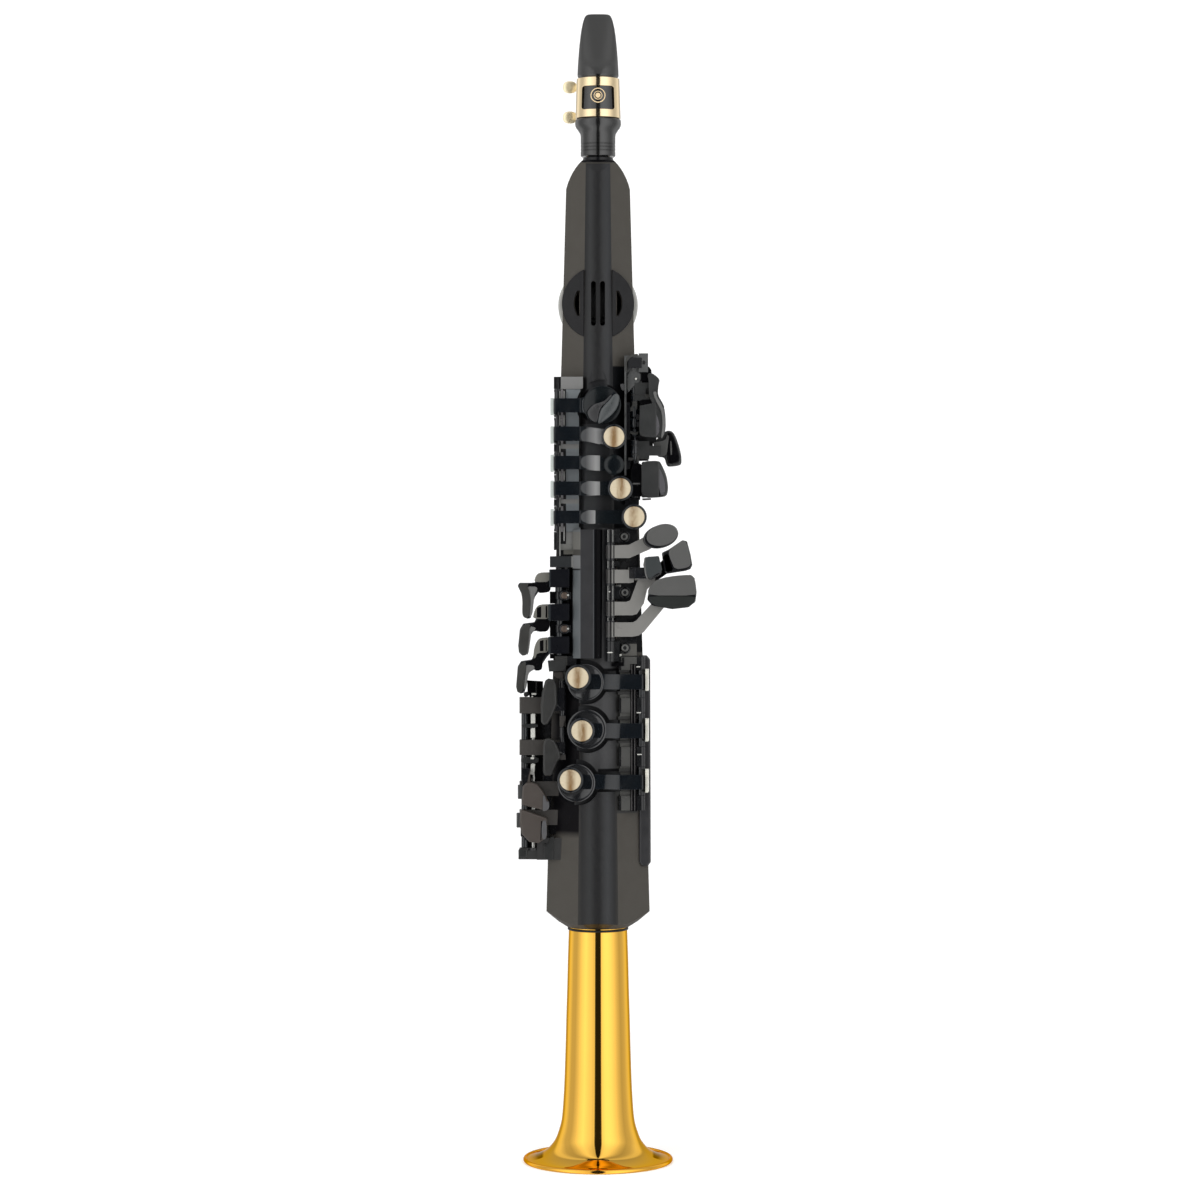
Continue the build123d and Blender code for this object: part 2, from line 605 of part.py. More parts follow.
# ---------------------------------------------------------------- little-finger table keys
TABLE_Y, TABLE_BACK_Y = -24.6, -22.3      # front and back of the arms
TOUCH_Y, TOUCH_BACK_Y = -31.2, -27.8      # front and back of the touches
RISER_Y = TOUCH_BACK_Y - 0.5              # risers reach into the touches


def table_key(span, outline, riser, touch):
    """Flat arm with its sleeve, a riser and a raised touch."""
    arm = prism_y(outline, TABLE_Y, TABLE_BACK_Y) + sleeve(TABLE_ROD, span, 2.45)
    return bored(arm + riser + touch, TABLE_ROD, span)


def riser_block(outline):
    return prism_y(outline, RISER_Y, TABLE_BACK_Y)


def oval_touch():
    tilt = math.radians(16)
    plane = Plane(origin=(37.6, TOUCH_Y, 381.2), x_dir=(math.cos(tilt), 0, math.sin(tilt)),
                  z_dir=(0, -1, 0))
    oval = Solid.extrude(Face(Wire.make_ellipse(10.8, 6.9, plane)),
                         Vector(0, TOUCH_BACK_Y - TOUCH_Y, 0))
    return soften(oval, 1.1, edges_at_y(TOUCH_Y))


def creased_touch():
    """Large touch whose lower part slopes back from a crease."""
    front = TOUCH_Y - 0.6
    touch = pad([
        (30.4, 348.8), (34.9, 352.8), (44.5, 356.8), (55.6, 358.3), (57.9, 356.4),
        (59.2, 347.8), (58.4, 342.0), (54.3, 338.7), (44.5, 337.6), (32.6, 339.8),
        (29.5, 343.2),
    ], front, TOUCH_BACK_Y, 1.6, 1.0)
    slope = [(TOUCH_Y - 3, 346.6), (front, 346.6), (TOUCH_Y + 1.5, 336.5), (TOUCH_Y - 3, 336.5)]
    return single(touch - prism_x(slope, 25, 65))


PIECES["g_sharp_key"] = table_key(
    (366.6, 377.4),
    [(5.2, 368.2), (5.2, 375.6), (18.6, 376.2), (25.0, 379.4), (33, 384), (36, 377),
     (31.0, 373.4), (19.0, 368.2)],
    riser_block([(28.5, 376.6), (28.5, 381.2), (34, 384), (40, 385), (42, 379), (36, 376.6),
                 (32, 375.0)]),
    oval_touch())
PIECES["low_c_sharp_key"] = table_key(
    (351.4, 363.0),
    [(5.2, 353.2), (5.2, 361.2), (19.4, 361.2), (21.6, 360.6), (21.6, 353.8), (19.4, 353.2)],
    prism_z([(18.4, TABLE_Y), (18.4, TABLE_BACK_Y), (20.6, TABLE_BACK_Y), (24.6, -27.3),
             (33.0, -27.3), (33.0, -29.6), (22.4, -29.6)], 356.0, 362.6),
    pad([(27.9, 368.7), (36.6, 369.6), (38.3, 360.0), (37.6, 358.4), (31.4, 354.9),
         (28.6, 357.4), (27.2, 364.0)], TOUCH_Y, -27.3, 1.2, 1.0))
# the low B arm passes behind the C sharp touch
PIECES["low_b_key"] = table_key(
    (332.0, 343.6),
    [(5.2, 333.8), (5.2, 341.9), (17.2, 341.9), (19.4, 342.8), (24.4, 356.4), (26.6, 359.6),
     (36, 364.0), (44, 372.4), (51, 372.4), (51, 364), (44.0, 360.6), (34.0, 353.6),
     (29.6, 349.4), (27.6, 341.0), (23.4, 334.6), (20.6, 333.8)],
    riser_block([(44.0, 371.0), (50.4, 371.8), (50.4, 364.4), (44.8, 362.0)]),
    pad([(38.2, 371.4), (42.4, 373.4), (50.6, 379.0), (53.4, 378.4), (55.6, 370.0),
         (56.6, 364.0), (55.4, 361.6), (52.6, 360.6), (41.2, 358.8), (39.9, 360.0)],
        TOUCH_Y, TOUCH_BACK_Y, 1.2, 1.0))
PIECES["low_b_flat_key"] = table_key(
    (318.2, 331.0),
    [(5.2, 320.9), (5.2, 329.5), (20.8, 329.5), (23.0, 330.6), (32.4, 341.0), (44.8, 341.0),
     (44.8, 339.4), (40.0, 338.8), (27.6, 323.8), (24.4, 321.6), (20.8, 320.9)],
    riser_block([(32.6, 340.2), (44.2, 340.2), (44.2, 346), (34.6, 346)]),
    creased_touch())

# ---------------------------------------------------------------- side keys
# name: barrel z range, sleeve z range, arm and touch outline (x, z)
SIDE_KEYS = {
    "side_e_key": ((350.8, 361.2), (347.9, 362.3), [
        (-27.7, 359.6), (-34.5, 359.4), (-37.0, 356.6), (-38.2, 353.2), (-47.6, 353.2),
        (-48.5, 351.4), (-45.5, 345.1), (-45.3, 335.4), (-44.4, 332.6), (-42.8, 331.5),
        (-40.6, 331.8), (-39.6, 339.7), (-38.2, 344.5), (-35.8, 347.9), (-27.7, 351.4)]),
    "side_c_key": ((330.3, 340.2), (328.0, 343.2), [
        (-27.7, 339.6), (-34.0, 339.4), (-36.2, 336.0), (-37.0, 332.8), (-38.4, 329.4),
        (-45.3, 328.5), (-47.2, 325.1), (-48.2, 315.4), (-47.8, 311.2), (-45.7, 309.2),
        (-43.6, 309.6), (-42.6, 313.6), (-41.4, 320.6), (-39.0, 323.9), (-34.5, 324.6),
        (-27.7, 330.6)]),
    "side_b_flat_key": ((311.0, 320.8), (309.4, 323.1), [
        (-27.7, 320.2), (-35.2, 319.6), (-37.8, 315.6), (-39.0, 309.6), (-40.0, 306.8),
        (-46.6, 305.8), (-48.5, 302.7), (-49.5, 290.6), (-48.8, 287.5), (-46.7, 286.3),
        (-44.4, 286.9), (-43.1, 291.8), (-42.0, 298.6), (-40.4, 300.9), (-34.9, 301.4),
        (-33.4, 304.5), (-30.9, 308.4), (-27.7, 311.8)]),
}


def side_key(barrel_span, span, outline):
    barrel = soften(rod_z(*SIDE_ROD, *barrel_span, 6.1), 0.5, circles_where(lambda e: True))
    arm = prism_y(outline, -18.4, -9.0, 1.0)
    arm = soften(arm, 0.8, edges_where(lambda e: extent(e).Y < 0.01))
    # the touch thins toward its outer side
    arm = arm - prism_z([(-60, -6), (-60, -11.0), (-41.0, -9.0), (-36, -9.0), (-36, -6)],
                        280, 370)
    return bored(barrel + arm + sleeve(SIDE_ROD, span), SIDE_ROD, span)


for name, sizes in SIDE_KEYS.items():
    PIECES[name] = side_key(*sizes)


# ---------------------------------------------------------------- keys with a single pad
def pad_key(outline, depth, corner_r, edge_r, blocks, rod, span, sleeve_r=SLEEVE_R, relief=None):
    """Pad over depth (y front, y back), joined by blocks (x0, x1, y0, y1, z0, z1) to a sleeve."""
    key = pad(outline, *depth, corner_r, edge_r)
    for block in blocks:
        key = key + box(*block)
    key = key + sleeve(rod, span, sleeve_r)
    if relief:
        key = key - box(*relief)
    return bored(key, rod, span)


F_SHARP_DEPTH = (-22.6, -17.8)
PINKY_DEPTH = (-19.6, -15.4)
PALM_DEPTH = (-19.6, -10.6)

PIECES["high_f_sharp_key"] = pad_key(
    [(-31.9, 294.1), (-30.1, 295.6), (-25.9, 294.7), (-24.7, 291.7), (-24.7, 279.6),
     (-27.1, 273.6), (-30.1, 268.2), (-32.5, 267.2), (-34.3, 269.4), (-34.6, 279.6),
     (-33.7, 287.5)],
    F_SHARP_DEPTH, 1.3, 1.5,
    [(-28.5, -20.6, -20.4, -18.0, 276.0, 290.0), (-23.4, -19.9, -19.8, -17.0, 276.0, 290.0)],
    F_SHARP_ROD, (273.0, 294.0), 1.9)
PIECES["alternate_f_sharp_key"] = pad_key(
    [(-31.9, 259.2), (-29.5, 259.8), (-25.9, 258.0), (-22.9, 251.3), (-22.6, 247.3),
     (-24.4, 245.3), (-27.1, 238.1), (-28.9, 236.8), (-32.2, 236.9), (-33.1, 239.3),
     (-33.1, 255.5)],
    F_SHARP_DEPTH, 1.1, 1.2,
    [(-28.5, -20.6, -20.4, -18.0, 250.4, 257.0), (-23.4, -19.9, -19.8, -17.0, 250.4, 257.0)],
    F_SHARP_ROD, (249.6, 266.0), 1.9, relief=(-24.0, -18.0, -18.95, -10.0, 240.0, 249.6))
PIECES["low_e_flat_key"] = pad_key(
    [(-45.6, 230.2), (-43.2, 232.5), (-39.8, 232.8), (-36.3, 231.4), (-33.1, 227.3),
     (-31.4, 224.4), (-29.8, 221.0), (-29.6, 218.2), (-33.4, 215.9), (-46.2, 219.2)],
    PINKY_DEPTH, 1.2, 1.2,
    [(-46.0, -41.0, -15.8, -12.4, 221.0, 241.0), (-46.4, -42.6, -13.0, -9.0, 234.4, 241.0)],
    PINKY_ROD, (233.2, 248.4))
PIECES["low_c_key"] = pad_key(
    [(-47.1, 215.6), (-46.0, 216.4), (-30.8, 211.2), (-30.6, 210.0), (-30.9, 199.6),
     (-35.7, 195.9), (-41.5, 196.7), (-46.0, 201.4), (-47.4, 207.2)],
    PINKY_DEPTH, 1.2, 1.2,
    [(-46.7, -42.3, -15.8, -9.0, 199.6, 205.6)],
    PINKY_ROD, (199.4, 205.8), 2.5)
PIECES["palm_d_key"] = pad_key(
    [(32.0, 479.1), (34.7, 477.2), (36.9, 475.4), (35.9, 472.5), (35.5, 466.2), (38.2, 461.8),
     (40.1, 457.9), (40.6, 448.7), (40.1, 443.2), (38.2, 440.9), (26.6, 441.5), (25.4, 444.0),
     (24.9, 460.0), (33.2, 461.3), (31.0, 466.8), (31.0, 475.3), (29.9, 478.6)],
    PALM_DEPTH, 0.8, 1.4,
    [(22.0, 31.2, -15.0, -12.4, 463.2, 474.8), (22.0, 32.4, -15.4, -12.4, 467.0, 474.0)],
    PALM_ROD, (462.4, 479.6))
PIECES["palm_e_flat_key"] = pad_key(
    [(26.3, 426.2), (36.3, 426.5), (37.9, 424.8), (41.0, 417.8), (42.1, 410.9), (41.5, 406.5),
     (39.4, 405.3), (26.2, 404.6), (26.6, 418.6)],
    PALM_DEPTH, 1.0, 1.4,
    [(22.0, 27.6, -15.0, -12.0, 405.6, 421.0)],
    PALM_ROD, (404.8, 421.6))
PIECES["palm_f_key"] = pad_key(
    [(34.0, 438.4), (41.1, 444.8), (44.2, 444.8), (46.2, 442.7), (48.5, 436.9), (50.2, 430.3),
     (50.4, 425.8), (49.4, 424.6), (42.9, 423.7), (41.7, 425.2), (40.6, 429.6), (36.5, 429.8),
     (34.9, 433.4)],
    (-7.6, 1.4), 1.0, 1.4,
    [(22.0, 31.0, -14.0, -11.4, 428.0, 438.8), (22.0, 38.0, -14.0, -11.4, 430.0, 436.0),
     (34.9, 38.0, -14.0, -4.0, 430.2, 436.0)],
    PALM_ROD, (427.2, 439.4))


# ---------------------------------------------------------------- rails and posts
# Everything that stands on the body is trimmed to its skin.
def post_hole(shape, rod, z0, z1, radius=ROD_R + 0.02):
    return shape - rod_z(*rod, z0 - 1, z1 + 1, radius)


def left_rail():
    rail = box(-20.4, -10.6, -17.8, -4, 373.0, 477.4)
    # post x limit on the ridge side, z range
    for x, z0, z1 in ((-9.1, 470.1, 477.4), (-10.6, 432.2, 436.8), (-10.6, 399.6, 403.6),
                      (-10.6, 373.0, 383.9)):
        rail = rail + box(-26.3, x, -18.4, -4, z0, z1) + rod_z(*LEFT_ROD, z0, z1, 2.5)
    rail = rail - body_skin - key_bed
    rail = post_hole(rail, LEFT_ROD, 360, 490)
    for z0, z1 in LEFT_FELTS:   # heel stops carrying the felts
        stop = (box(-28.5, -26.9, -20.0, -3.0, z0 + 1, z1 - 1)
                + box(-28.5, -18.0, -8.6, -3.0, z0 + 1, z1 - 1))
        rail = rail + (stop - body_skin)
    return large_solids(rail)


def right_rail():
    rail = box(13.2, 22.6, -18.0, -6, 215.8, 308.6)
    for z0, z1 in ((300.6, 308.6), (274.9, 283.8), (242.4, 254.2), (215.8, 224.7)):
        rail = (rail + box(12.8, 24.6, -19.4, -4, z0, z1) + rod_z(*RIGHT_ROD, z0, z1, 2.5)
                + box(23, 26, -19.5, -14.5, z0, z1))
    rail = rail - body_skin
    rail = rail - key_bed
    for _, _, (z0, z1), _, _ in RIGHT_KEYS.values():
        rail = rail - box(0, 21, -30, RECESS_Y, z0 - RECESS_GAP, z1 + RECESS_GAP)
    return large_solids(post_hole(rail, RIGHT_ROD, 200, 320))


def table_rail():
    """Plate with the little-finger table posts."""
    rail = box(10.4, 23.4, -17.9, -6, 306.0, 386.0)
    for z0, z1 in ((377.6, 385.6), (363.2, 366.4), (343.8, 351.2), (306.0, 318.0)):
        rail = rail + box(5.6, 13.0, -22.6, -8, z0, z1) + rod_z(*TABLE_ROD, z0, z1, 2.5)
    rail = rail - body_skin
    rail = rail - box(-60, 60, -60, -17.0, 280, 302)
    rail = post_hole(rail, TABLE_ROD, 300, 390)
    rail = rail - box(13.1, 27, -30, -17.6, 300.0, 309.0)
    rail = rail - box(12.7, 30, -30, -4, 214, 308.8)   # room for the right-hand rail
    return large_solids(rail)


def side_posts():
    # x range, z range
    posts = joined([
        box(x0, x1, -20.0, -4, z0, z1) + rod_z(*SIDE_ROD, z0, z1, 2.6)
        for x0, x1, z0, z1 in ((-29.0, -11.8, 362.6, 369.2), (-24.0, -16.2, 343.5, 347.6),
                               (-24.0, -16.2, 323.4, 327.7), (-26.0, -13.0, 303.4, 309.0))
    ])
    posts = posts + box(-20.0, -16.2, -12.4, -4, 303.4, 369.2)
    for z0, z1 in ((309.02, 323.38), (327.72, 343.48), (347.62, 362.58)):   # barrel clearance
        posts = posts - rod_z(*SIDE_ROD, z0, z1, 6.4)
    posts = posts - body_skin
    return large_solids(post_hole(posts, SIDE_ROD, 300, 372))


def f_sharp_posts():
    posts = joined([box(-23.2, -19.6, -18.6, -4, z0, z1)
                    for z0, z1 in ((294.2, 299.8), (266.2, 272.8), (246.4, 249.4))])
    posts = posts - body_skin
    posts = posts - key_bed
    return large_solids(post_hole(posts, F_SHARP_ROD, 240, 305), 10)


def pinky_mount(shape):
    """Trims a little-finger post and drills it for both rods."""
    shape = shape - body_skin
    shape = post_hole(shape, PINKY_ROD, 180, 300)
    return large_solids(post_hole(shape, PINKY_INNER_ROD, 180, 300, 1.52))


def pinky_posts():
    solids = []
    for z0, z1 in ((274.0, 283.8), (248.8, 258.0), (224.0, 232.8), (206.4, 215.6)):
        post = box(-47.6, -20, -11.8, -5.0, z0, z1)
        post = soften(post, 1.0, edges_where(lambda e: extent(e).Z > 5 and e.center().X < -40))
        solids += pinky_mount(post)
    return solids


def pinky_foot_bracket():
    return pinky_mount(box(-48.2, -20, -12.4, -5.0, 185.6, 191.0)
                       + box(-37.0, -20, -13.4, -5.0, 185.4, 198.6)
                       + rod_z(*PINKY_ROD, 185.6, 192.4, 3.2)
                       + rod_z(*PINKY_INNER_ROD, 185.6, 192.4, 3.4))


rails = (left_rail() + right_rail() + table_rail() + side_posts() + f_sharp_posts()
         + pinky_posts() + pinky_foot_bracket())


def palm_key_chassis():
    frame = box(15.9, 17.1, -17.6, -2, 418.0, 489.0)
    for block in ((15.9, 30.2, -17.0, -3, 488.6, 490.2), (24.6, 30.2, -17.0, -4, 480.2, 491.6)):
        frame = frame + box(*block)
    # the next two pairs meet before they join the frame
    frame = frame + box(16.0, 25.2, -14.6, -3, 480.2, 490.0)
    frame = frame + box(16.4, 24.8, -14.8, -10.4, 400.4, 404.4)
    frame = frame + box(16.4, 20.4, -14.8, -3, 400.4, 404.4)
    frame = frame + prism_y([(16.2, 466.0), (16.2, 480.4), (24.6, 480.4), (24.6, 480.0),
                             (19.6, 477.0), (18.9, 468.5)], -13.2, -11.6)
    frame = frame + box(16.0, 19.4, -15.8, -3, 439.8, 462.0)
    frame = frame + box(16.0, 19.4, -15.8, -3, 421.8, 427.0)
    frame = frame + rod_z(*PALM_ROD, 400.4, 404.4, 2.4) + rod_z(*PALM_ROD, 480.2, 490.6, 2.6)
    frame = frame - rod_z(*PALM_ROD, 404.5, 480.1, 2.6)   # clears the sleeves
    frame = frame - body_skin
    frame = frame - key_bed
    frame = frame - box(-20, 15.88, -60, 0, 380, 500)
    frame = post_hole(frame, PALM_ROD, 395, 495)
    return Compound(children=large_solids(frame - rod_y(27.6, 486.0, -20, -15.2, 1.2)))


PIECES["palm_key_chassis"] = palm_key_chassis()


# ---------------------------------------------------------------- guards, felts, springs
def centre_cover():
    cover = prism_z([(-15.4, -11), (-15.2, -19.8), (-10.8, -24.2), (-0.6, -24.6),
                     (1.4, -23.4), (2.6, -20.4), (3.0, -12)], 307.8, 385.4)
    cover = cover - body_skin
    cover = soften(cover, 0.5, edges_where(lambda e: extent(e).Z > 60 and e.center().Y < -19))
    return cover - key_bed


def side_guard():
    guard = prism_y([(24.9, 309.0), (29.6, 309.0), (31.6, 306.6), (32.0, 184.0),
                     (30.2, 181.4), (26.6, 181.4), (24.9, 184.0)], -13.4, -2.0, 1.2)
    guard = soften(guard, 1.2, edges_at_y(-13.4))
    guard = guard - body_skin
    return guard - box(20, 25.2, -30, 0, 214, 310)


def clear_of_cover(solids, cover):
    """Cuts the centre cover out of the rail solids near it."""
    result = []
    for solid in solids:
        low, high = solid.bounding_box().min, solid.bounding_box().max
        if high.X > -16 and low.X < 4 and high.Z > 307 and low.Z < 386 and high.Y < 0:
            result += large_solids(solid - cover, 5)
        else:
            result.append(solid)
    return result


cover = centre_cover()
rails = clear_of_cover(rails, cover)
PIECES["key_guards"] = Compound(children=large_solids(cover) + large_solids(side_guard()))


def felt_bumpers():
    felts = [box(-28.6, -26.62, -25.6, -20.02, z0, z1) for z0, z1 in LEFT_FELTS]
    x = 28.55
    for z0, z1 in ((288.3, 301.2), (257.7, 271.3), (226.9, 240.7)):
        felts.append(prism_z([(x, -13.45), (x, -23.4), (x + 1.5, -23.4), (x + 2.3, -13.45)],
                             z0, z1))
    return Compound(children=felts)


def needle_springs():
    """Thin wires beside the rods: rod, x and y offset from it, z ranges."""
    groups = (
        (LEFT_ROD, 2.85, 0.9,
         ((384.6, 398.8), (404.2, 417.8), (437.4, 452.0), (453.6, 469.4))),
        (RIGHT_ROD, -2.85, 0.9, ((226, 241.2), (256, 273.8), (285, 299.6))),
        (TABLE_ROD, 3.5, 3.6, ((319.4, 330.2), (333, 343.0), (352, 362.4), (367.0, 376.8))),
    )
    return Compound(children=[rod_z(rod[0] + dx, rod[1] + dy, z0, z1, 0.3)
                              for rod, dx, dy, spans in groups for z0, z1 in spans])


PIECES["felt_bumpers"] = felt_bumpers()
PIECES["needle_springs"] = needle_springs()


# ---------------------------------------------------------------- thumb side
def octave_key():
    key = prism_x([   # (y, z)
        (22.6, 463.0), (26.4, 463.0), (26.8, 458.0), (25.6, 450.0), (25.9, 441.4),
        (24.2, 440.4), (23.2, 441.6), (23.2, 450.0), (23.9, 458.0), (22.4, 462.0),
    ], -8.4, 8.4)
    key = soften(key, 0.7, edges_where(lambda e: extent(e).X < 0.01))
    key = key + rod_x(-7.4, 7.4, *OCTAVE_PIN, 2.5) + box(-6.0, 6.0, 22.8, 26.0, 462.5, 466)
    return single(key - rod_x(-20, 20, *OCTAVE_PIN, SLEEVE_BORE))


def octave_posts():
    posts = joined([
        box(-11.0, -7.5, 15, OCTAVE_PIN[0], 463.2, 468.8), rod_x(-11.0, -7.5, *OCTAVE_PIN, 2.6),
        box(7.5, 11.0, 15, OCTAVE_PIN[0], 463.2, 468.8), rod_x(7.5, 11.0, *OCTAVE_PIN, 2.6),
    ])
    posts = posts - body_skin
    return large_solids(posts - rod_x(-20, 20, *OCTAVE_PIN, ROD_R + 0.02), 10)


def thumb_rest():
    rest = rod_y(0, 426.0, 18.0, 24.0, 8.2)
    rest = soften(rest, 1.6, circles_at_y(24.0, 0.05))
    return single(rest - body_skin)


def strap_ring():
    ring = (rod_x(-1.6, 1.6, 29.0, 372.0, 7.6)
            + prism_x([(20, 380.5), (29, 379.0), (29, 365.0), (20, 363.5)], -1.6, 1.6)
            + box(-7.0, 7.0, 18, 22.4, 359.0, 385.0))
    ring = soften(ring, 0.8, edges_where(
        lambda e: extent(e).Z < 0.05 and extent(e).X > 10 and e.center().Y > 22))
    ring = ring - body_skin
    ring = ring - rod_x(-10, 10, 29.6, 372.0, 4.5)
    ring = ring - rod_y(0, 381.6, 0, 40, 0.01)   # pinhole in the base plate
    return large_solids(ring, 100)[0]


def analog_lever():
    """Ball with a flat stem and a square thumb pad."""
    lever = Pos(0, LEVER_Y, LEVER_Z) * Sphere(3.6)
    lever = (lever + box(-2.2, 2.2, LEVER_Y, 29.0, LEVER_Z - 1.4, LEVER_Z + 1.4)
             + box(-5.0, 5.0, 27.8, 30.2, LEVER_Z - 4.6, LEVER_Z + 4.6))
    lever = soften(lever, 0.7, edges_where(lambda e: e.center().Y > 27))
    return single(lever + rod_x(-5.2, 5.2, LEVER_Y, LEVER_Z, 1.0))   # tilt pin


def thumb_hook():
    half, z = 5.2, HOOK_Z
    plate = box(-half, half, back_y(z) + 0.75, back_y(z) + 3.4, z - 14, z + 14)
    # outer arc and inner arc of the hook, (y, z)
    outer = [Vector(-half, 25.6, z + 8), Vector(-half, 38.0, z + 11.0),
             Vector(-half, 46.6, z - 5.0)]
    inner = [Vector(-half, 43.6, z - 6.2), Vector(-half, 36.6, z + 7.2),
             Vector(-half, 25.6, z + 4.2)]
    curl = Solid.extrude(Face(Wire([
        Edge.make_three_point_arc(*outer),
        Edge.make_line(outer[-1], inner[0]),
        Edge.make_three_point_arc(*inner),
        Edge.make_line(inner[-1], outer[0]),
    ])), Vector(2 * half, 0, 0))
    hook = soften(plate + curl, 0.8,
                  edges_where(lambda e: e.center().Y > 27 and extent(e).X < 0.05))
    slot = (box(-1.65, 1.65, 15, 40, z - 11.0, z - 3.0)
            & box(-20, 20, 15, back_y(z) + 3.5, 200, 400))
    return single(hook - slot)


def hook_base():
    """Base plate with a channel for the hook plate."""
    floor = back_y(HOOK_Z) + 0.68
    base = box(-8.6, 8.6, 18, floor, HOOK_Z - 22, HOOK_Z + 22)
    base = base - box(-5.35, 5.35, floor, 40, 200, 400)
    base = soften(base, 1.2, edges_where(lambda e: extent(e).Y > 3 and extent(e).X < 0.05))
    return large_solids(base - body_skin)


PIECES["octave_key"] = octave_key()
PIECES["thumb_rest"] = thumb_rest()
PIECES["strap_ring"] = strap_ring()
PIECES["analog_lever"] = analog_lever()
PIECES["thumb_hook"] = thumb_hook()
rails += octave_posts() + hook_base()

# ---------------------------------------------------------------- control panel
PANEL_Z0, PANEL_Z1 = 556.5, 596.5


def panel_prism(y0, y1, gap=0.0):
    low, high = 9.4 + gap, 8.8 + gap
    return prism_y([(-low, PANEL_Z0 - gap), (low, PANEL_Z0 - gap),
                    (high, PANEL_Z1 + gap), (-high, PANEL_Z1 + gap)], y0, y1, 2.2)


def control_panel():
    panel = panel_prism(8.0, 18.6) - box(-30, 30, 0, 13.45, 540, 610)
    slope = prism_x([(13.4, PANEL_Z0 - 1), (back_y(PANEL_Z0) + 0.9, PANEL_Z0 - 1),
                     (back_y(PANEL_Z1) + 0.9, PANEL_Z1 + 1), (13.4, PANEL_Z1 + 1)], -12, 12)
    panel = single(panel & slope)
    panel = (panel - rod_y(0, POWER_Z, 0, 40, 3.1)
             - box(-3.6, 3.6, 0, 40, VOLUME_Z - 5.2, VOLUME_Z + 5.2))
    return single(panel - box(-6.2, 6.2, back_y(588) + 0.35, 40, 583.0, 593.0))


def power_button():
    button = (rod_y(0, POWER_Z, 14.6, back_y(POWER_Z) + 1.9, 2.95)
              + rod_y(0, POWER_Z, 13.6, 14.7, 2.0))
    return single(soften(button, 0.5, circles_where(lambda e: e.center().Y > 16)))


def volume_rocker():
    top = back_y(VOLUME_Z) + 2.0
    rocker = box(-3.4, 3.4, 14.8, top, VOLUME_Z - 4.95, VOLUME_Z + 4.95)
    rocker = soften(rocker, 0.8, edges_where(lambda e: e.center().Y > 17.3))
    rocker = rocker - (Pos(0, top + 7.4, VOLUME_Z) * (Rot(0, 90, 0) * Cylinder(8.0, 20)))
    return single(rocker + rod_x(-3.4, 3.4, 15.2, VOLUME_Z, 1.1))


PIECES["control_panel"] = control_panel()
PIECES["power_button"] = power_button()
PIECES["volume_rocker"] = volume_rocker()


# ---------------------------------------------------------------- battery and main board
def cover_zone(gap=0.0):
    """Opening of the battery cover in the rear wall, shrunk by gap."""
    half = 20.5 - gap
    return box(-half, half, 10, 60, 177.0 + gap, 228.0 - gap)


def battery_cover():
    lid = single(shell & cover_zone(0.15))
    for i in range(5):   # grip grooves
        z = 219.0 - 2.0 * i
        lid = lid - box(-6, 6, back_y(z) - 0.5, 60, z - 0.5, z + 0.5)
    return single(lid)


def battery_cells():
    return Compound(children=[
        single(rod_z(x, 16.2, 179.0, 222.3, 5.1) + rod_z(x, 16.2, 222.3, 223.3, 1.9))
        for x in (-16.8, -5.6, 5.6, 16.8)
    ])


def main_board():
    board = box(-13.5, 13.5, 3.0, 4.6, 232.0, 488.0)
    lever_socket = (
        box(-5.5, 5.5, 4.6, LEVER_Y + 1.8, LEVER_Z - 5.5, LEVER_Z + 5.5)
        - Pos(0, LEVER_Y, LEVER_Z) * Sphere(3.66)
        # open slot the tilt pin drops into
        - box(-6.0, 6.0, LEVER_Y - 1.05, LEVER_Y + 2.5, LEVER_Z - 1.05, LEVER_Z + 1.05))
    board = board + lever_socket
    board = (board + box(-6, 6, 0.5, 3.0, 300, 312) + box(-4, 4, 1.2, 3.0, 340, 352)
             + box(-7, 7, 4.6, 7.6, 400, 414)
             + rod_y(0, 450.0, -4.0, 3.0, 4.0))   # breath sensor
    for x in (-JACK_X, JACK_X):
        board = board + rod_y(x, JACK_Z, 4.6, back_y(JACK_Z) - 0.1, 3.4)
        board = board - rod_y(x, JACK_Z, 9.6, 40, 1.75)
    board = board + box(-4.6, 4.6, 4.6, back_y(JACK_Z) - 0.2, JACK_Z - 1.7, JACK_Z + 1.7)
    return single(board - box(-3.9, 3.9, 12, 40, JACK_Z - 1.1, JACK_Z + 1.1))


PIECES["battery_cover"] = battery_cover()
PIECES["battery_cells"] = battery_cells()
PIECES["main_board"] = main_board()

shell = cut_each(shell, [
    cover_zone(),
    rod_y(-JACK_X, JACK_Z, 10, 40, 3.45),
    rod_y(JACK_X, JACK_Z, 10, 40, 3.45),
    box(-4.7, 4.7, 10, 40, JACK_Z - 1.8, JACK_Z + 1.8),
    panel_prism(13.4, 40, gap=0.1),
    rod_y(0, POWER_Z, 10, 40, 2.1),
    box(-3.5, 3.5, 10, 14.9, VOLUME_Z - 5.1, VOLUME_Z + 5.1),
    rod_y(0, LEVER_Z, 10, 40, 6.4),
])

# ---------------------------------------------------------------- fixing screws
REAR_SCREWS = ((15.6, 455), (17.6, 400), (18.6, 345), (20.0, 290))     # (x either side, z)
TABLE_SCREWS = ((15.8, 381.1), (16.2, 347.4), (16.2, 314.0))           # (x, z)


def corner_y(x, z):
    """Skin of the rounded back corner at distance x from the middle."""
    radius, half_w = BACK_R * taper(z), HALF_W0 * taper(z)
    return back_y(z) - radius + math.sqrt(radius * radius - (x - (half_w - radius)) ** 2)


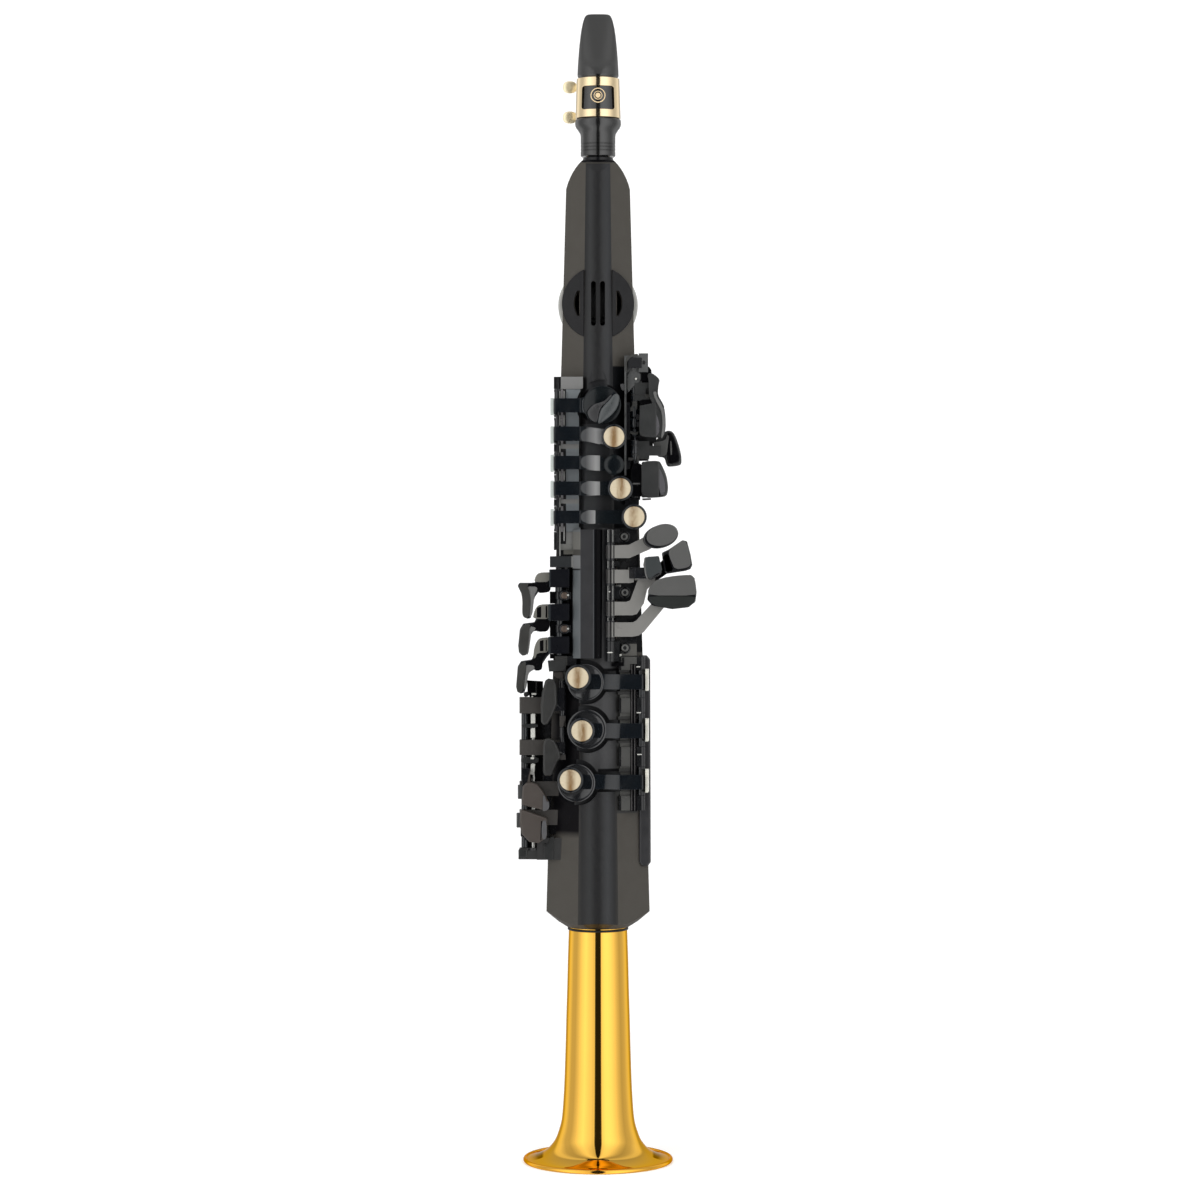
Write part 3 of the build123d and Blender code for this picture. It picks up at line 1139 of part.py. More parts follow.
def rear_screw(x, z, y):
    """Cross-slotted head sunk below the skin at y."""
    head = rod_y(x, z, y - 3.0, y - 1.2, 1.9)
    return single(head - box(x - 1.2, x + 1.2, y - 1.7, y, z - 0.25, z + 0.25)
                  - box(x - 0.25, x + 0.25, y - 1.7, y, z - 1.2, z + 1.2))


def table_screw(x, z):
    head = disc_y(x, z, -19.2, -15.9, 2.2, 0.35)
    return single(head - rod_y(x, z, -20, -17.6, 1.15))


screws = []
for screw_x, z in REAR_SCREWS:
    skin_y = corner_y(screw_x, z)
    for x in (-screw_x, screw_x):
        screws.append(rear_screw(x, z, skin_y))
        shell = shell - rod_y(x, z, skin_y - 3.0, 60, 1.95)   # blind counterbore
for x, z in TABLE_SCREWS:
    screws.append(table_screw(x, z))
    for i, rail in enumerate(rails):
        low, high = rail.bounding_box().min, rail.bounding_box().max
        if low.X < x < high.X and low.Z < z < high.Z:
            rails[i] = rail - rod_y(x, z, -30, -15.88, 2.22)
PIECES["fixing_screws"] = Compound(children=screws)
PIECES["key_rails"] = Compound(children=[s for rail in rails for s in large_solids(rail, 5)])

# ---------------------------------------------------------------- shell halves and export
SEAM = 0.08   # half the gap between the shells, at mid-depth
front = shell & box(-60, 60, -60, -SEAM, 100, 640)
rear = shell & box(-60, 60, SEAM, 60, 100, 640)
PIECES["body_front_shell"] = max(front.solids(), key=lambda s: s.volume)
PIECES["body_rear_shell"] = max(rear.solids(), key=lambda s: s.volume)

os.makedirs("parts", exist_ok=True)
for name, shape in PIECES.items():
    export_step(shape, f"parts/{name}.step")
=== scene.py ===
"""Electronic wind instrument shaped like a straight saxophone, standing on its bell.

The axis of the body is +Z: bell rim on the floor at z = 0, mouthpiece tip at z = 699 mm.
The key side faces -Y (front), the thumb side +Y; left and right are as seen from the front,
so left is -X. Meshes, tables and paint ranges are in millimetres; lights are in metres.
"""
import bpy
import bmesh
import json
import math
import numpy as np
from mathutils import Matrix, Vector


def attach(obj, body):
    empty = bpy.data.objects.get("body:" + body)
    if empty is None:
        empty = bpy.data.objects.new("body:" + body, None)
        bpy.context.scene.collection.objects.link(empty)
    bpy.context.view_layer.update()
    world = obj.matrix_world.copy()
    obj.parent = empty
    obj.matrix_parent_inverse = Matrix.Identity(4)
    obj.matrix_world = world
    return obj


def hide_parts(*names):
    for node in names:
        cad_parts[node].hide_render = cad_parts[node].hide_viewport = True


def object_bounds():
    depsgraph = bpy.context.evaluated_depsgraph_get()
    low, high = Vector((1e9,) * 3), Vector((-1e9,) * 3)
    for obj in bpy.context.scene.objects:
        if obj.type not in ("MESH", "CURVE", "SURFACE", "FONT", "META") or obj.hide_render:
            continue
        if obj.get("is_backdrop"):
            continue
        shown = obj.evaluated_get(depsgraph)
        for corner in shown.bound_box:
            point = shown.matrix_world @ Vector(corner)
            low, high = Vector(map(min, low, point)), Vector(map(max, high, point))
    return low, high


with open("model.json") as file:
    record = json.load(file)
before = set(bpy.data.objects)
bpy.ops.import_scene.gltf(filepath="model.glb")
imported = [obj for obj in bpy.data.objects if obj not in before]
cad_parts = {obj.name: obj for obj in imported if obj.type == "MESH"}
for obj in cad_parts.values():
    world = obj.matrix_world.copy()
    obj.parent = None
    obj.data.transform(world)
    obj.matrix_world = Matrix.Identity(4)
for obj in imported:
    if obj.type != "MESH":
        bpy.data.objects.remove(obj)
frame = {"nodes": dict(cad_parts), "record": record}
cad_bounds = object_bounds()
NODES = frame["nodes"]
MM = 0.001
scene = bpy.context.scene
scene.view_settings.view_transform = "Standard"
scene.view_settings.look = "None"

# Centre (x, z) of each round key, shared by its well and its lid
ROUND_KEYS = {"rh_f_key": (-7.4, 293.4), "rh_e_key": (-6.6, 265.1),
              "rh_d_key": (-13.0, 232.8), "front_f_key": (2.4, 460.2)}
# Axis (x, y) of the long hinge rods and of the rods they share with small parts
STACK_ROD = (-24.2, -16.0)
LOWER_ROD = (26.0, -17.0)
TABLE_ROD = (7.5, -22.6)
PALM_ROD = (22.0, -12.4)


# ------------------------------------------------------------------ shader tools
def srgb(*levels):
    """Linear RGBA of an 8-bit sRGB colour."""
    def linear(level):
        share = level / 255.0
        return share / 12.92 if share <= 0.04045 else ((share + 0.055) / 1.055) ** 2.4
    return (*map(linear, levels), 1.0)


def add_node(tree, kind, inputs=None, **settings):
    """Add a shader node; each input takes a value, or a link from an output socket."""
    node = tree.nodes.new("ShaderNode" + kind)
    for setting, value in settings.items():
        setattr(node, setting, value)
    for socket, value in (inputs or {}).items():
        if isinstance(value, bpy.types.NodeSocket):
            tree.links.new(value, node.inputs[socket])
        else:
            node.inputs[socket].default_value = value
    return node


class Finish:
    """Principled material with noise in its colour, roughness and bump, and rubbed edges.

    vary and rough_vary are the swing of colour and roughness, the *_scale values the noise
    frequencies, bump and bump_mm the strength and depth of the grain, and wear the amount of
    wear_color showing on edges.
    """

    def __init__(self, name, color, rough=0.5, metallic=0.0, spec=0.5, coat=0.0,
                 coat_rough=0.08, sheen=0.0, vary=0.10, vary_scale=60.0, rough_vary=0.08,
                 rough_scale=140.0, bump=0.02, bump_scale=1400.0, bump_mm=0.02,
                 wear=0.0, wear_color=None):
        self.material = bpy.data.materials.new(name)
        self.material.use_nodes = True
        self.tree = self.material.node_tree
        self.shader = self.tree.nodes["Principled BSDF"]
        self.set(**{"Metallic": metallic, "Specular IOR Level": spec, "Coat Weight": coat,
                    "Coat Roughness": coat_rough, "Sheen Weight": sheen})
        self.place = self.node("TexCoord").outputs["Object"]
        darker = tuple(max(0.0, c * (1 - vary)) for c in color[:3]) + (1,)
        lighter = tuple(min(1.0, c * (1 + vary)) for c in color[:3]) + (1,)
        tone = self.node("Mix", {0: self.noise(vary_scale, 5), 6: darker, 7: lighter},
                         data_type="RGBA")
        self.feed("Base Color", tone.outputs[2])
        self.feed("Roughness", self.ramp(
            self.noise(rough_scale, 6), 0.3, 0.7,
            low=max(0.02, rough - rough_vary), high=min(1.0, rough + rough_vary)))
        grain = self.node("Bump", {"Height": self.noise(bump_scale, 3), "Strength": bump,
                                   "Distance": bump_mm * MM})
        self.feed("Normal", grain.outputs["Normal"])
        if wear > 0:
            self.rub_edges(wear, wear_color or tuple(
                min(1, c * 2.6 + 0.03) for c in color[:3]) + (1,))

    def set(self, **values):
        for socket, value in values.items():
            self.shader.inputs[socket].default_value = value

    def node(self, kind, inputs=None, **settings):
        return add_node(self.tree, kind, inputs, **settings)

    def feed(self, socket, output):
        self.tree.links.new(output, self.shader.inputs[socket])

    def noise(self, scale, detail, vector=None, distortion=0.0):
        return self.node("TexNoise", {"Vector": vector or self.place, "Scale": scale,
                                      "Detail": detail, "Distortion": distortion}
                         ).outputs["Fac"]

    def ramp(self, value, start, stop, low=0.0, high=1.0, **settings):
        """Map start..stop to low..high, clamped."""
        return self.node("MapRange", {"Value": value, "From Min": start, "From Max": stop,
                                      "To Min": low, "To Max": high}, **settings
                         ).outputs["Result"]

    def math(self, operation, *values):
        return self.node("Math", dict(enumerate(values)), operation=operation).outputs[0]

    def axes(self):
        return self.node("SeparateXYZ", {0: self.place}).outputs

    def cover(self, factor, color):
        """Lay a colour over the present one by a factor."""
        present = self.shader.inputs["Base Color"].links[0].from_socket
        mix = self.node("Mix", {0: factor, 6: present, 7: color}, data_type="RGBA")
        self.feed("Base Color", mix.outputs[2])

    def blend(self, name, factor, value):
        """Move a number of the shader towards a value by a factor."""
        socket = self.shader.inputs[name]
        present = socket.links[0].from_socket if socket.links else socket.default_value
        self.feed(name, self.node("Mix", {0: factor, 2: present, 3: value}).outputs[0])

    def rub_edges(self, amount, color):
        """Near an edge the bevelled normal differs from the true one."""
        rounded = self.node("Bevel", {"Radius": 0.35 * MM}, samples=3)
        flat = self.node("NewGeometry")
        likeness = self.node("VectorMath", {0: rounded.outputs["Normal"],
                                            1: flat.outputs["Normal"]},
                             operation="DOT_PRODUCT").outputs["Value"]
        edge = self.ramp(likeness, 0.995, 0.90)
        patches = self.ramp(self.noise(420, 6), 0.42, 0.68, high=amount)
        self.cover(self.math("MULTIPLY", edge, patches), color)

    def box(self, color, soft=0.4, rough=None, spec=None, **ranges):
        """Paint inside x, y, z ranges; soft is the half width of the fade, or one per axis."""
        axes = self.axes()
        factor = None
        for axis, (low, high) in ranges.items():
            fade = (soft.get(axis, 0.3) if isinstance(soft, dict) else soft) * MM
            for edge, side in ((low, 1), (high, -1)):
                inside = self.ramp(axes[axis.upper()],
                                   edge * MM - side * fade, edge * MM + side * fade)
                factor = self.math("MULTIPLY", factor, inside) if factor else inside
        self.cover(factor, color)
        if rough is not None:
            self.blend("Roughness", factor, rough)
        if spec is not None:
            self.blend("Specular IOR Level", factor, spec)

    def oval(self, color, centre, radii, x_max, y_max=-24.3, power=4.0, soft=0.08, fade=0.2):
        """Paint inside a squarish oval seen from the front, below x_max and y_max."""
        axes = self.axes()
        terms = []
        for axis, middle, radius in zip("XZ", centre, radii):
            offset = self.math("MULTIPLY_ADD", axes[axis], 1.0 / (radius * MM),
                               -middle / radius)
            terms.append(self.math("POWER", self.math("ABSOLUTE", offset), power))
        factor = self.ramp(self.math("ADD", *terms), 1.0 + soft, 1.0 - soft)
        for axis, limit in (("Y", y_max), ("X", x_max)):
            below = self.ramp(axes[axis], (limit + fade) * MM, (limit - fade) * MM)
            factor = self.math("MULTIPLY", factor, below)
        self.cover(factor, color)

    def disc(self, color, centre, radius, soft=0.3, y_max=-8.0, spec=0.04):
        """Paint inside a circle (x, z) on the front side only."""
        axes = self.axes()
        flat = self.node("CombineXYZ", {"X": axes["X"], "Z": axes["Z"]}).outputs[0]
        distance = self.node("VectorMath", {0: flat, 1: (centre[0] * MM, 0.0, centre[1] * MM)},
                             operation="DISTANCE").outputs["Value"]
        inside = self.ramp(distance, (radius + soft) * MM, (radius - soft) * MM)
        front = self.ramp(axes["Y"], (y_max + soft) * MM, (y_max - soft) * MM)
        factor = self.math("MULTIPLY", inside, front)
        self.cover(factor, color)
        self.blend("Specular IOR Level", factor, spec)


# ------------------------------------------------------------------ finishes
SHELL = Finish("shell_black", srgb(60, 57, 52), rough=0.58, spec=0.34, vary=0.07,
               vary_scale=14, bump=0.25, bump_scale=2600, bump_mm=0.03, rough_vary=0.05,
               wear=0.25)
RIDGE = Finish("shell_ridge", srgb(24, 24, 25), rough=0.40, spec=0.30, vary=0.06,
               vary_scale=20, bump=0.02, bump_scale=2600, rough_vary=0.04, wear=0.2)
# painted highlight right of the rounded ridge's centre and painted shade left of it; the
# ridge's outer edges blend into the panel tone
RIDGE.box(srgb(38, 39, 41), x=(3.4, 8.6), soft=2.2)
RIDGE.box(srgb(32, 33, 34), x=(-6.4, -3.6), soft=1.4)
RIDGE.box(srgb(44, 42, 39), x=(-40, -11.4), soft=1.6)
RIDGE.box(srgb(44, 42, 39), x=(11.4, 40), soft=1.6)
BED = Finish("bed_black", srgb(16, 17, 20), rough=0.45, spec=0.35, vary=0.15, bump=0.1)
KEY = Finish("key_black", srgb(13, 17, 21), rough=0.15, spec=0.62, vary=0.12, vary_scale=90,
             bump=0.05, bump_scale=1500, rough_vary=0.07, wear=0.30,
             wear_color=srgb(96, 100, 106))
TOUCH = Finish("touch_grey", srgb(74, 74, 73), rough=0.46, spec=0.4, vary=0.08, bump=0.22,
               bump_scale=2600, wear=0.30)
RAIL = Finish("rail_grey", srgb(68, 69, 69), rough=0.34, vary_scale=50, bump=0.12, wear=0.35)
RAIL_BLACK = Finish("rail_black", srgb(15, 16, 19), rough=0.18, spec=0.6, vary=0.15,
                    bump=0.06, wear=0.25, wear_color=srgb(90, 92, 96))
SPEAKER = Finish("speaker_grey", srgb(158, 158, 154), rough=0.48, spec=0.4, vary=0.05,
                 bump=0.15, bump_scale=2400, wear=0.1)
BRASS = Finish("lacquered_brass", (1.0, 0.56, 0.095, 1), rough=0.05, metallic=1.0,
               coat_rough=0.03, vary=0.035, vary_scale=26, rough_vary=0.018, rough_scale=70,
               bump=0.012, bump_scale=260, bump_mm=0.03)
RIM = Finish("bell_rim_brass", (1.0, 0.50, 0.07, 1), rough=0.10, metallic=1.0, vary=0.06,
             rough_vary=0.03, bump_scale=500)
BRASS.set(**{"Specular Tint": (0.86, 0.62, 0.30, 1)})
RIM.set(**{"Specular Tint": (0.90, 0.55, 0.22, 1)})
PALE_GOLD = Finish("pale_gold", (0.95, 0.76, 0.47, 1), rough=0.12, metallic=1.0, coat=0.3,
                   vary=0.04, rough_vary=0.03, bump=0.03, bump_scale=900, wear=0.2,
                   wear_color=(0.98, 0.86, 0.6, 1))
EBONITE = Finish("ebonite", srgb(18, 18, 18), rough=0.13, spec=0.95, vary=0.06,
                 vary_scale=70, bump=0.01, rough_vary=0.02)
CORK = Finish("cork", srgb(176, 134, 88), rough=0.85, spec=0.2, vary=0.28, vary_scale=900,
              bump=0.6, bump_scale=1600, bump_mm=0.15)
STEEL = Finish("steel", srgb(176, 176, 172), rough=0.26, metallic=1.0, vary=0.06, bump=0.05,
               bump_scale=900, rough_vary=0.06)
SPRING = Finish("spring_steel", srgb(84, 76, 70), rough=0.25, metallic=1.0, vary=0.2,
                vary_scale=300, bump=0.05)
WING = Finish("wing_black", srgb(34, 34, 35), rough=0.55, spec=0.12, bump=0.2,
              bump_scale=2600, wear=0.2)
MOULDED = {"vary": 0.08, "bump": 0.15, "bump_scale": 2400, "wear": 0.25}
SIDE_KEY = Finish("side_key_grey", srgb(44, 44, 42), rough=0.36, **MOULDED)
PALM_KEY = Finish("palm_key_grey", srgb(37, 38, 38), rough=0.36, **MOULDED)
F_SHARP = Finish("f_sharp_grey", srgb(34, 34, 33), rough=0.40, **MOULDED)
LITTLE_FINGER = Finish("little_finger_brown", srgb(60, 54, 50), rough=0.42, spec=0.45,
                       vary=0.08, bump=0.2, bump_scale=2400, wear=0.25)
GUARD = Finish("guard_grey", srgb(38, 38, 40), rough=0.36, spec=0.45, vary=0.08, bump=0.15,
               bump_scale=2200, wear=0.2)
ROD = Finish("rod_black", srgb(52, 53, 56), rough=0.2, metallic=1.0, vary=0.12, bump=0.05,
             bump_scale=900)
PIN = Finish("pin_brass", srgb(84, 72, 64), rough=0.42, metallic=0.5, vary=0.2,
             vary_scale=400, bump=0.1, bump_scale=900)
GLASS = Finish("display_glass", srgb(8, 9, 11), rough=0.05, spec=0.7, coat=1.0, vary=0.05,
               bump=0.0)
FELT = Finish("felt", srgb(196, 195, 184), rough=0.92, spec=0.1, vary_scale=700, bump=0.9,
              bump_scale=2600, bump_mm=0.12, sheen=0.5)
FELT_GREY = Finish("felt_grey", srgb(170, 176, 172), rough=0.8, spec=0.2, vary_scale=700,
                   bump=0.7, bump_scale=2600, bump_mm=0.1, sheen=0.4)
MESH = Finish("mesh_black", srgb(22, 22, 23), rough=0.4, metallic=0.6, bump=0.1)
BOARD = Finish("board_green", srgb(24, 84, 48), rough=0.35, vary=0.15, vary_scale=120,
               bump=0.15, bump_scale=900)
DRIVER = Finish("driver_dark", srgb(30, 30, 32), rough=0.6, vary=0.2, bump=0.2)
CELL = Finish("cell_wrap", srgb(52, 60, 70), rough=0.25, spec=0.6, vary=0.08, bump=0.05)
BUTTON = Finish("button_grey", srgb(104, 105, 108), vary=0.07, bump=0.25, bump_scale=2600,
                wear=0.3)
CANE = Finish("cane", srgb(214, 182, 118), spec=0.35, vary_scale=40, bump=0.35,
              bump_scale=900)


def add_cane_grain():
    """Dark fibres along the instrument: noise stretched in z."""
    stretched = CANE.node("Mapping", {"Vector": CANE.place, "Scale": (1.0, 1.0, 0.03)})
    fibres = CANE.noise(2600, 4, vector=stretched.outputs["Vector"])
    CANE.cover(CANE.ramp(fibres, 0.45, 0.75, high=0.55), srgb(150, 110, 56))


add_cane_grain()


def pearl_finish(name, seed, x):
    """Cream mother-of-pearl with a brown upright band near x, broken by swirls."""
    pearl = Finish(name, srgb(184, 171, 145), rough=0.26, spec=0.4, coat=0.5,
                   coat_rough=0.06, vary=0.05, vary_scale=200, bump=0.05)
    moved = pearl.node("Mapping", {
        "Vector": pearl.place, "Location": (seed * 0.37, seed * 0.11, seed * 0.23),
        "Scale": (1.0, 1.0, 0.35)})
    swirls = pearl.noise(330, 4, vector=moved.outputs["Vector"], distortion=0.8)
    offset = pearl.math("SUBTRACT", pearl.axes()["X"],
                        (x + 0.5 * math.sin(seed * 1.7)) * MM)
    band = pearl.ramp(pearl.math("ABSOLUTE", offset), 3.9 * MM, 0.2 * MM,
                      interpolation_type="SMOOTHSTEP")
    broken = pearl.math("MULTIPLY", band, pearl.ramp(swirls, 0.28, 0.62, low=0.35))
    pearl.cover(pearl.math("MULTIPLY", broken, 0.95), srgb(114, 86, 52))
    return pearl


# ------------------------------------------------------------------ mesh tools
def round_edges(ob, width, segments, angle):
    bevel = ob.modifiers.new("bevel", "BEVEL")
    bevel.width = width * MM
    bevel.segments = segments
    bevel.limit_method = "ANGLE"
    bevel.angle_limit = math.radians(angle)
    ob.modifiers.new("wn", "WEIGHTED_NORMAL").keep_sharp = False


def split_edges(ob, angle):
    ob.modifiers.new("split", "EDGE_SPLIT").split_angle = math.radians(angle)


def add_mesh(name, verts, faces, finish, body="body", slot=None, bevel=0.0, segments=3,
             split=38.0):
    """Mesh from millimetre points, riding on a body; bevelled, or split at sharp edges."""
    mesh = bpy.data.meshes.new(name)
    mesh.from_pydata([tuple(c * MM for c in v) for v in verts], [], faces)
    mesh.validate()
    ob = bpy.data.objects.new(name, mesh)
    scene.collection.objects.link(ob)
    bm = bmesh.new()
    bm.from_mesh(mesh)
    bmesh.ops.remove_doubles(bm, verts=bm.verts, dist=1e-7)
    bmesh.ops.recalc_face_normals(bm, faces=bm.faces)
    bm.to_mesh(mesh)
    bm.free()
    for polygon in mesh.polygons:
        polygon.use_smooth = True
    mesh.materials.append(finish.material)
    if bevel > 0:
        round_edges(ob, bevel, segments, angle=30)
    elif split:
        split_edges(ob, split)
    if body:
        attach(ob, body)
    return ob


def ring_faces(rings, count, start=0):
    """Quads joining successive closed rings of count points."""
    faces = []
    for j in range(rings - 1):
        low, high = start + j * count, start + (j + 1) * count
        for i in range(count):
            k = (i + 1) % count
            faces.append((low + i, low + k, high + k, high + i))
    return faces


def circle(count):
    """Cosine and sine of evenly spaced angles."""
    angles = [2 * math.pi * i / count for i in range(count)]
    return [(math.cos(a), math.sin(a)) for a in angles]


def lathe(name, profile, finish, body="body", segs=96, axis="Z", centre=(0, 0, 0), **options):
    """Turn a profile of (radius, distance along the axis)."""
    verts = []
    for radius, along in profile:
        for cosine, sine in circle(segs):
            c, s = radius * cosine, radius * sine
            p = {"Z": (c, s, along), "Y": (c, along, s), "X": (along, c, s)}[axis]
            verts.append(tuple(a + b for a, b in zip(p, centre)))
    return add_mesh(name, verts, ring_faces(len(profile), segs), finish, body, **options)


def sleeve(name, end_radius, radius, z0, z1, finish, body, centre, segs=36, lead=0.15):
    """Upright tube that narrows to end_radius over the lead at both ends."""
    lathe(name, [(end_radius, z0), (radius, z0 + lead), (radius, z1 - lead),
                 (end_radius, z1)],
          finish, body, centre=(*centre, 0), segs=segs, slot="key_black")


def smooth_loop(points, rounds=2):
    """Corner cutting of a closed outline."""
    for _ in range(rounds):
        cut = []
        for a, b in zip(points, points[1:] + points[:1]):
            cut.append((a[0] * 0.78 + b[0] * 0.22, a[1] * 0.78 + b[1] * 0.22))
            cut.append((a[0] * 0.22 + b[0] * 0.78, a[1] * 0.22 + b[1] * 0.78))
        points = cut
    return points


def slab(name, outline, front, back, finish, body="body", rounds=2, bevel=0.6, **options):
    """Plate with an (x, z) outline between two y values."""
    loop = smooth_loop(outline, rounds)
    count = len(loop)
    verts = [(x, y, z) for y in (front, back) for x, z in loop]
    faces = [tuple(range(count)), tuple(reversed(range(count, 2 * count)))]
    return add_mesh(name, verts, faces + ring_faces(2, count), finish, body, bevel=bevel,
                    **options)


def boxes(name, items, finish, body="body", bevel=0.2, **options):
    """One mesh of boxes given as (x0, x1, y0, y1, z0, z1)."""
    verts, faces = [], []
    for x0, x1, y0, y1, z0, z1 in items:
        first = len(verts)
        verts += [(x, y, z) for z in (z0, z1)
                  for x, y in ((x0, y0), (x1, y0), (x1, y1), (x0, y1))]
        faces += [tuple(first + i for i in face) for face in (
            (0, 3, 2, 1), (4, 5, 6, 7), (0, 1, 5, 4), (1, 2, 6, 5), (2, 3, 7, 6),
            (3, 0, 4, 7))]
    return add_mesh(name, verts, faces, finish, body, bevel=bevel, **options)


def dome(name, outline, front, back, finish, body, rise, edge, slot, levels=7):
    """Touch with a crowned face: rings shrink to the centroid while the face rises."""
    loop = np.array(smooth_loop(outline, 3))
    middle = loop.mean(0)
    count = len(loop)
    verts = [(x, back, z) for x, z in loop]
    verts += [(x, front + edge, z) for x, z in loop]
    for j in range(1, levels):
        scale = 1 - (j / levels) ** 1.6
        y = front + edge - (edge + rise) * math.sin(math.acos(scale)) ** 0.75
        for x, z in loop:
            verts.append((middle[0] + (x - middle[0]) * scale, y,
                          middle[1] + (z - middle[1]) * scale))
    faces = [tuple(reversed(range(count)))] + ring_faces(1 + levels, count)
    verts.append((middle[0], front - rise, middle[1]))
    last = levels * count
    faces += [(last + i, last + (i + 1) % count, len(verts) - 1) for i in range(count)]
    return add_mesh(name, verts, faces, finish, body, slot=slot, split=50)


# ------------------------------------------------------------------ CAD pieces
SLOT_FINISHES = {
    "shell_black": SHELL, "key_black": KEY, "touch_grey": TOUCH, "rail_grey": RAIL,
    "speaker_grey": SPEAKER, "lacquered_brass": BRASS, "pale_gold": PALE_GOLD,
    "ebonite": EBONITE, "cane": CANE, "cork": CORK, "pearl": FELT, "steel": STEEL,
    "spring_steel": SPRING, "felt": FELT, "mesh_black": MESH, "board_green": BOARD,
    "driver_dark": DRIVER, "cell_wrap": CELL, "button_grey": BUTTON}
UNBEVELLED = {"speaker_grille", "needle_springs", "hinge_rods", "battery_cells", "bell"}


def dress(node, finish):
    """Give a CAD piece its finish, smooth shading and edge treatment."""
    ob = NODES[node]
    mesh = ob.data
    mesh.materials.clear()
    mesh.materials.append(finish.material)
    for polygon in mesh.polygons:
        polygon.use_smooth = True
        polygon.material_index = 0
    if "custom_normal" in mesh.attributes:
        mesh.attributes.remove(mesh.attributes["custom_normal"])
    ob.modifiers.new("weld", "WELD").merge_threshold = 0.000004
    if node in UNBEVELLED:
        split_edges(ob, 32)
    else:
        round_edges(ob, 0.22, segments=2, angle=33)


def refinish(node, finishes, pick=None):
    """Replace the finishes; pick(x, y, z, normal_y) gives the index of a face's finish."""
    mesh = NODES[node].data
    mesh.materials.clear()
    for finish in finishes:
        mesh.materials.append(finish.material)
    if pick:
        for polygon in mesh.polygons:
            c = polygon.center
            polygon.material_index = int(
                pick(c.x * 1000, c.y * 1000, c.z * 1000, polygon.normal.y))


slot_of = {part["node"]: part["material_slot"] for part in frame["record"]["subparts"]}
for node in sorted(NODES):
    dress(node, SLOT_FINISHES[slot_of[node]])


# ------------------------------------------------------------------ shell paint
def shell_part(x, y, z, normal_y):
    """0 panel, 1 front ridge, 2 key bed; the body tapers upwards."""
    radius_low, z_low, shrink = 31.35, 153, 0.0274
    taper = (radius_low - shrink * (z - z_low)) / radius_low
    bed_floor = -17.4 < y < -16.2 and abs(x) < 19 and 210 < z < 480 and normal_y < -0.9
    bed_wall = (219 < z < 478 and abs(x) < 20 and abs(normal_y) < 0.25
                and -25 * taper + 0.3 < y < -16.5)
    if bed_floor or bed_wall:
        return 2
    return 1 if abs(x) < 12.4 * taper and y < -19.0 * taper and normal_y < -0.5 else 0


# the key bed (index 2) is painted near-black: painted shade in the recess under the keys
refinish("body_front_shell", (SHELL, RIDGE, BED), shell_part)

# dark plates that carry the key work, over the panels
# the lower-left plate is black; its soft fade at the lower edge is a painted shadow falling
# onto the panel
SHELL.box(srgb(12, 11, 13), x=(-40, -9.6), y=(-40, -8.4), z=(201, 311), soft=2.2,
          rough=0.35, spec=0.05)
SHELL.box(srgb(12, 13, 15), x=(-40, 40), y=(-40, -8.0), z=(311, 386), rough=0.3, spec=0.06)
SHELL.box(srgb(12, 13, 15), x=(8, 40), y=(-40, -7.0), z=(386, 484), soft=0.5, rough=0.35,
          spec=0.05)
SHELL.box(srgb(26, 27, 28), x=(-40, -8), y=(-40, -8.0), z=(386, 474), soft=0.5, rough=0.35)
SHELL.box(srgb(36, 36, 35), x=(9, 24), y=(-40, -8.6), z=(214, 311), rough=0.4)
RIDGE.box(srgb(26, 27, 28), z=(386, 446), x=(-14, 16), soft=0.6, rough=0.4)
# paler strip beside the left-hand levers, then a painted highlight on the lower ridge
PALE_STRIP = srgb(52, 53, 55)
RIDGE.box(PALE_STRIP, z=(386, 449), x=(-14, 0.5), soft={"x": 3.0}, rough=0.4)
SHELL.box(PALE_STRIP, z=(386, 449), x=(-10.4, 0.5), y=(-40, -8), soft={"x": 1.0}, rough=0.4)
BED.box(srgb(50, 51, 53), z=(386, 449), x=(-14, 0.5), soft={"x": 3.0}, rough=0.45)
# painted highlight on the rounded lower ridge
RIDGE.box(srgb(52, 52, 53), z=(240, 300), x=(-7, 11), soft={"x": 2.5, "z": 12.0}, rough=0.42)
# black neck below the mouthpiece: partly the dark neck ring, partly painted shadow on the top
# of the body under the mouthpiece
for finish in (SHELL, RIDGE):
    finish.box(srgb(14, 14, 16), z=(607.0, 640), soft=0.5, rough=0.2)
# the rear part of the board group is dark plastic, the rest green
BOARD.box(srgb(24, 24, 26), y=(8.0, 60), soft=0.2, rough=0.45)
# painted shadow in the wells under the round keys, and in strips under their levers
WELL_SHADOW = srgb(9, 9, 11)
for key, radius in (("rh_f_key", 13.4), ("rh_e_key", 14.2), ("rh_d_key", 13.8),
                    ("front_f_key", 13.0)):
    for finish in (SHELL, RIDGE):
        finish.disc(WELL_SHADOW, ROUND_KEYS[key], radius)
for z_range in ((287.6, 301.6), (258.4, 270.6), (228.6, 241.2)):
    for finish in (SHELL, RIDGE):
        finish.box(WELL_SHADOW, x=(0.0, 27), y=(-40, -8.0), z=z_range, soft=0.3, rough=0.35,
                   spec=0.04)
# painted shadow along the right edge of the ridge, beside the rail
RIDGE.box(WELL_SHADOW, x=(11.3, 13), z=(214, 309), soft=0.2, rough=0.35)

# ------------------------------------------------------------------ rails and keys paint
RAILS = Finish("key_rails_finish", srgb(17, 18, 20), rough=0.24, spec=0.55, vary=0.12,
               bump=0.08, wear=0.2, wear_color=srgb(80, 82, 84))
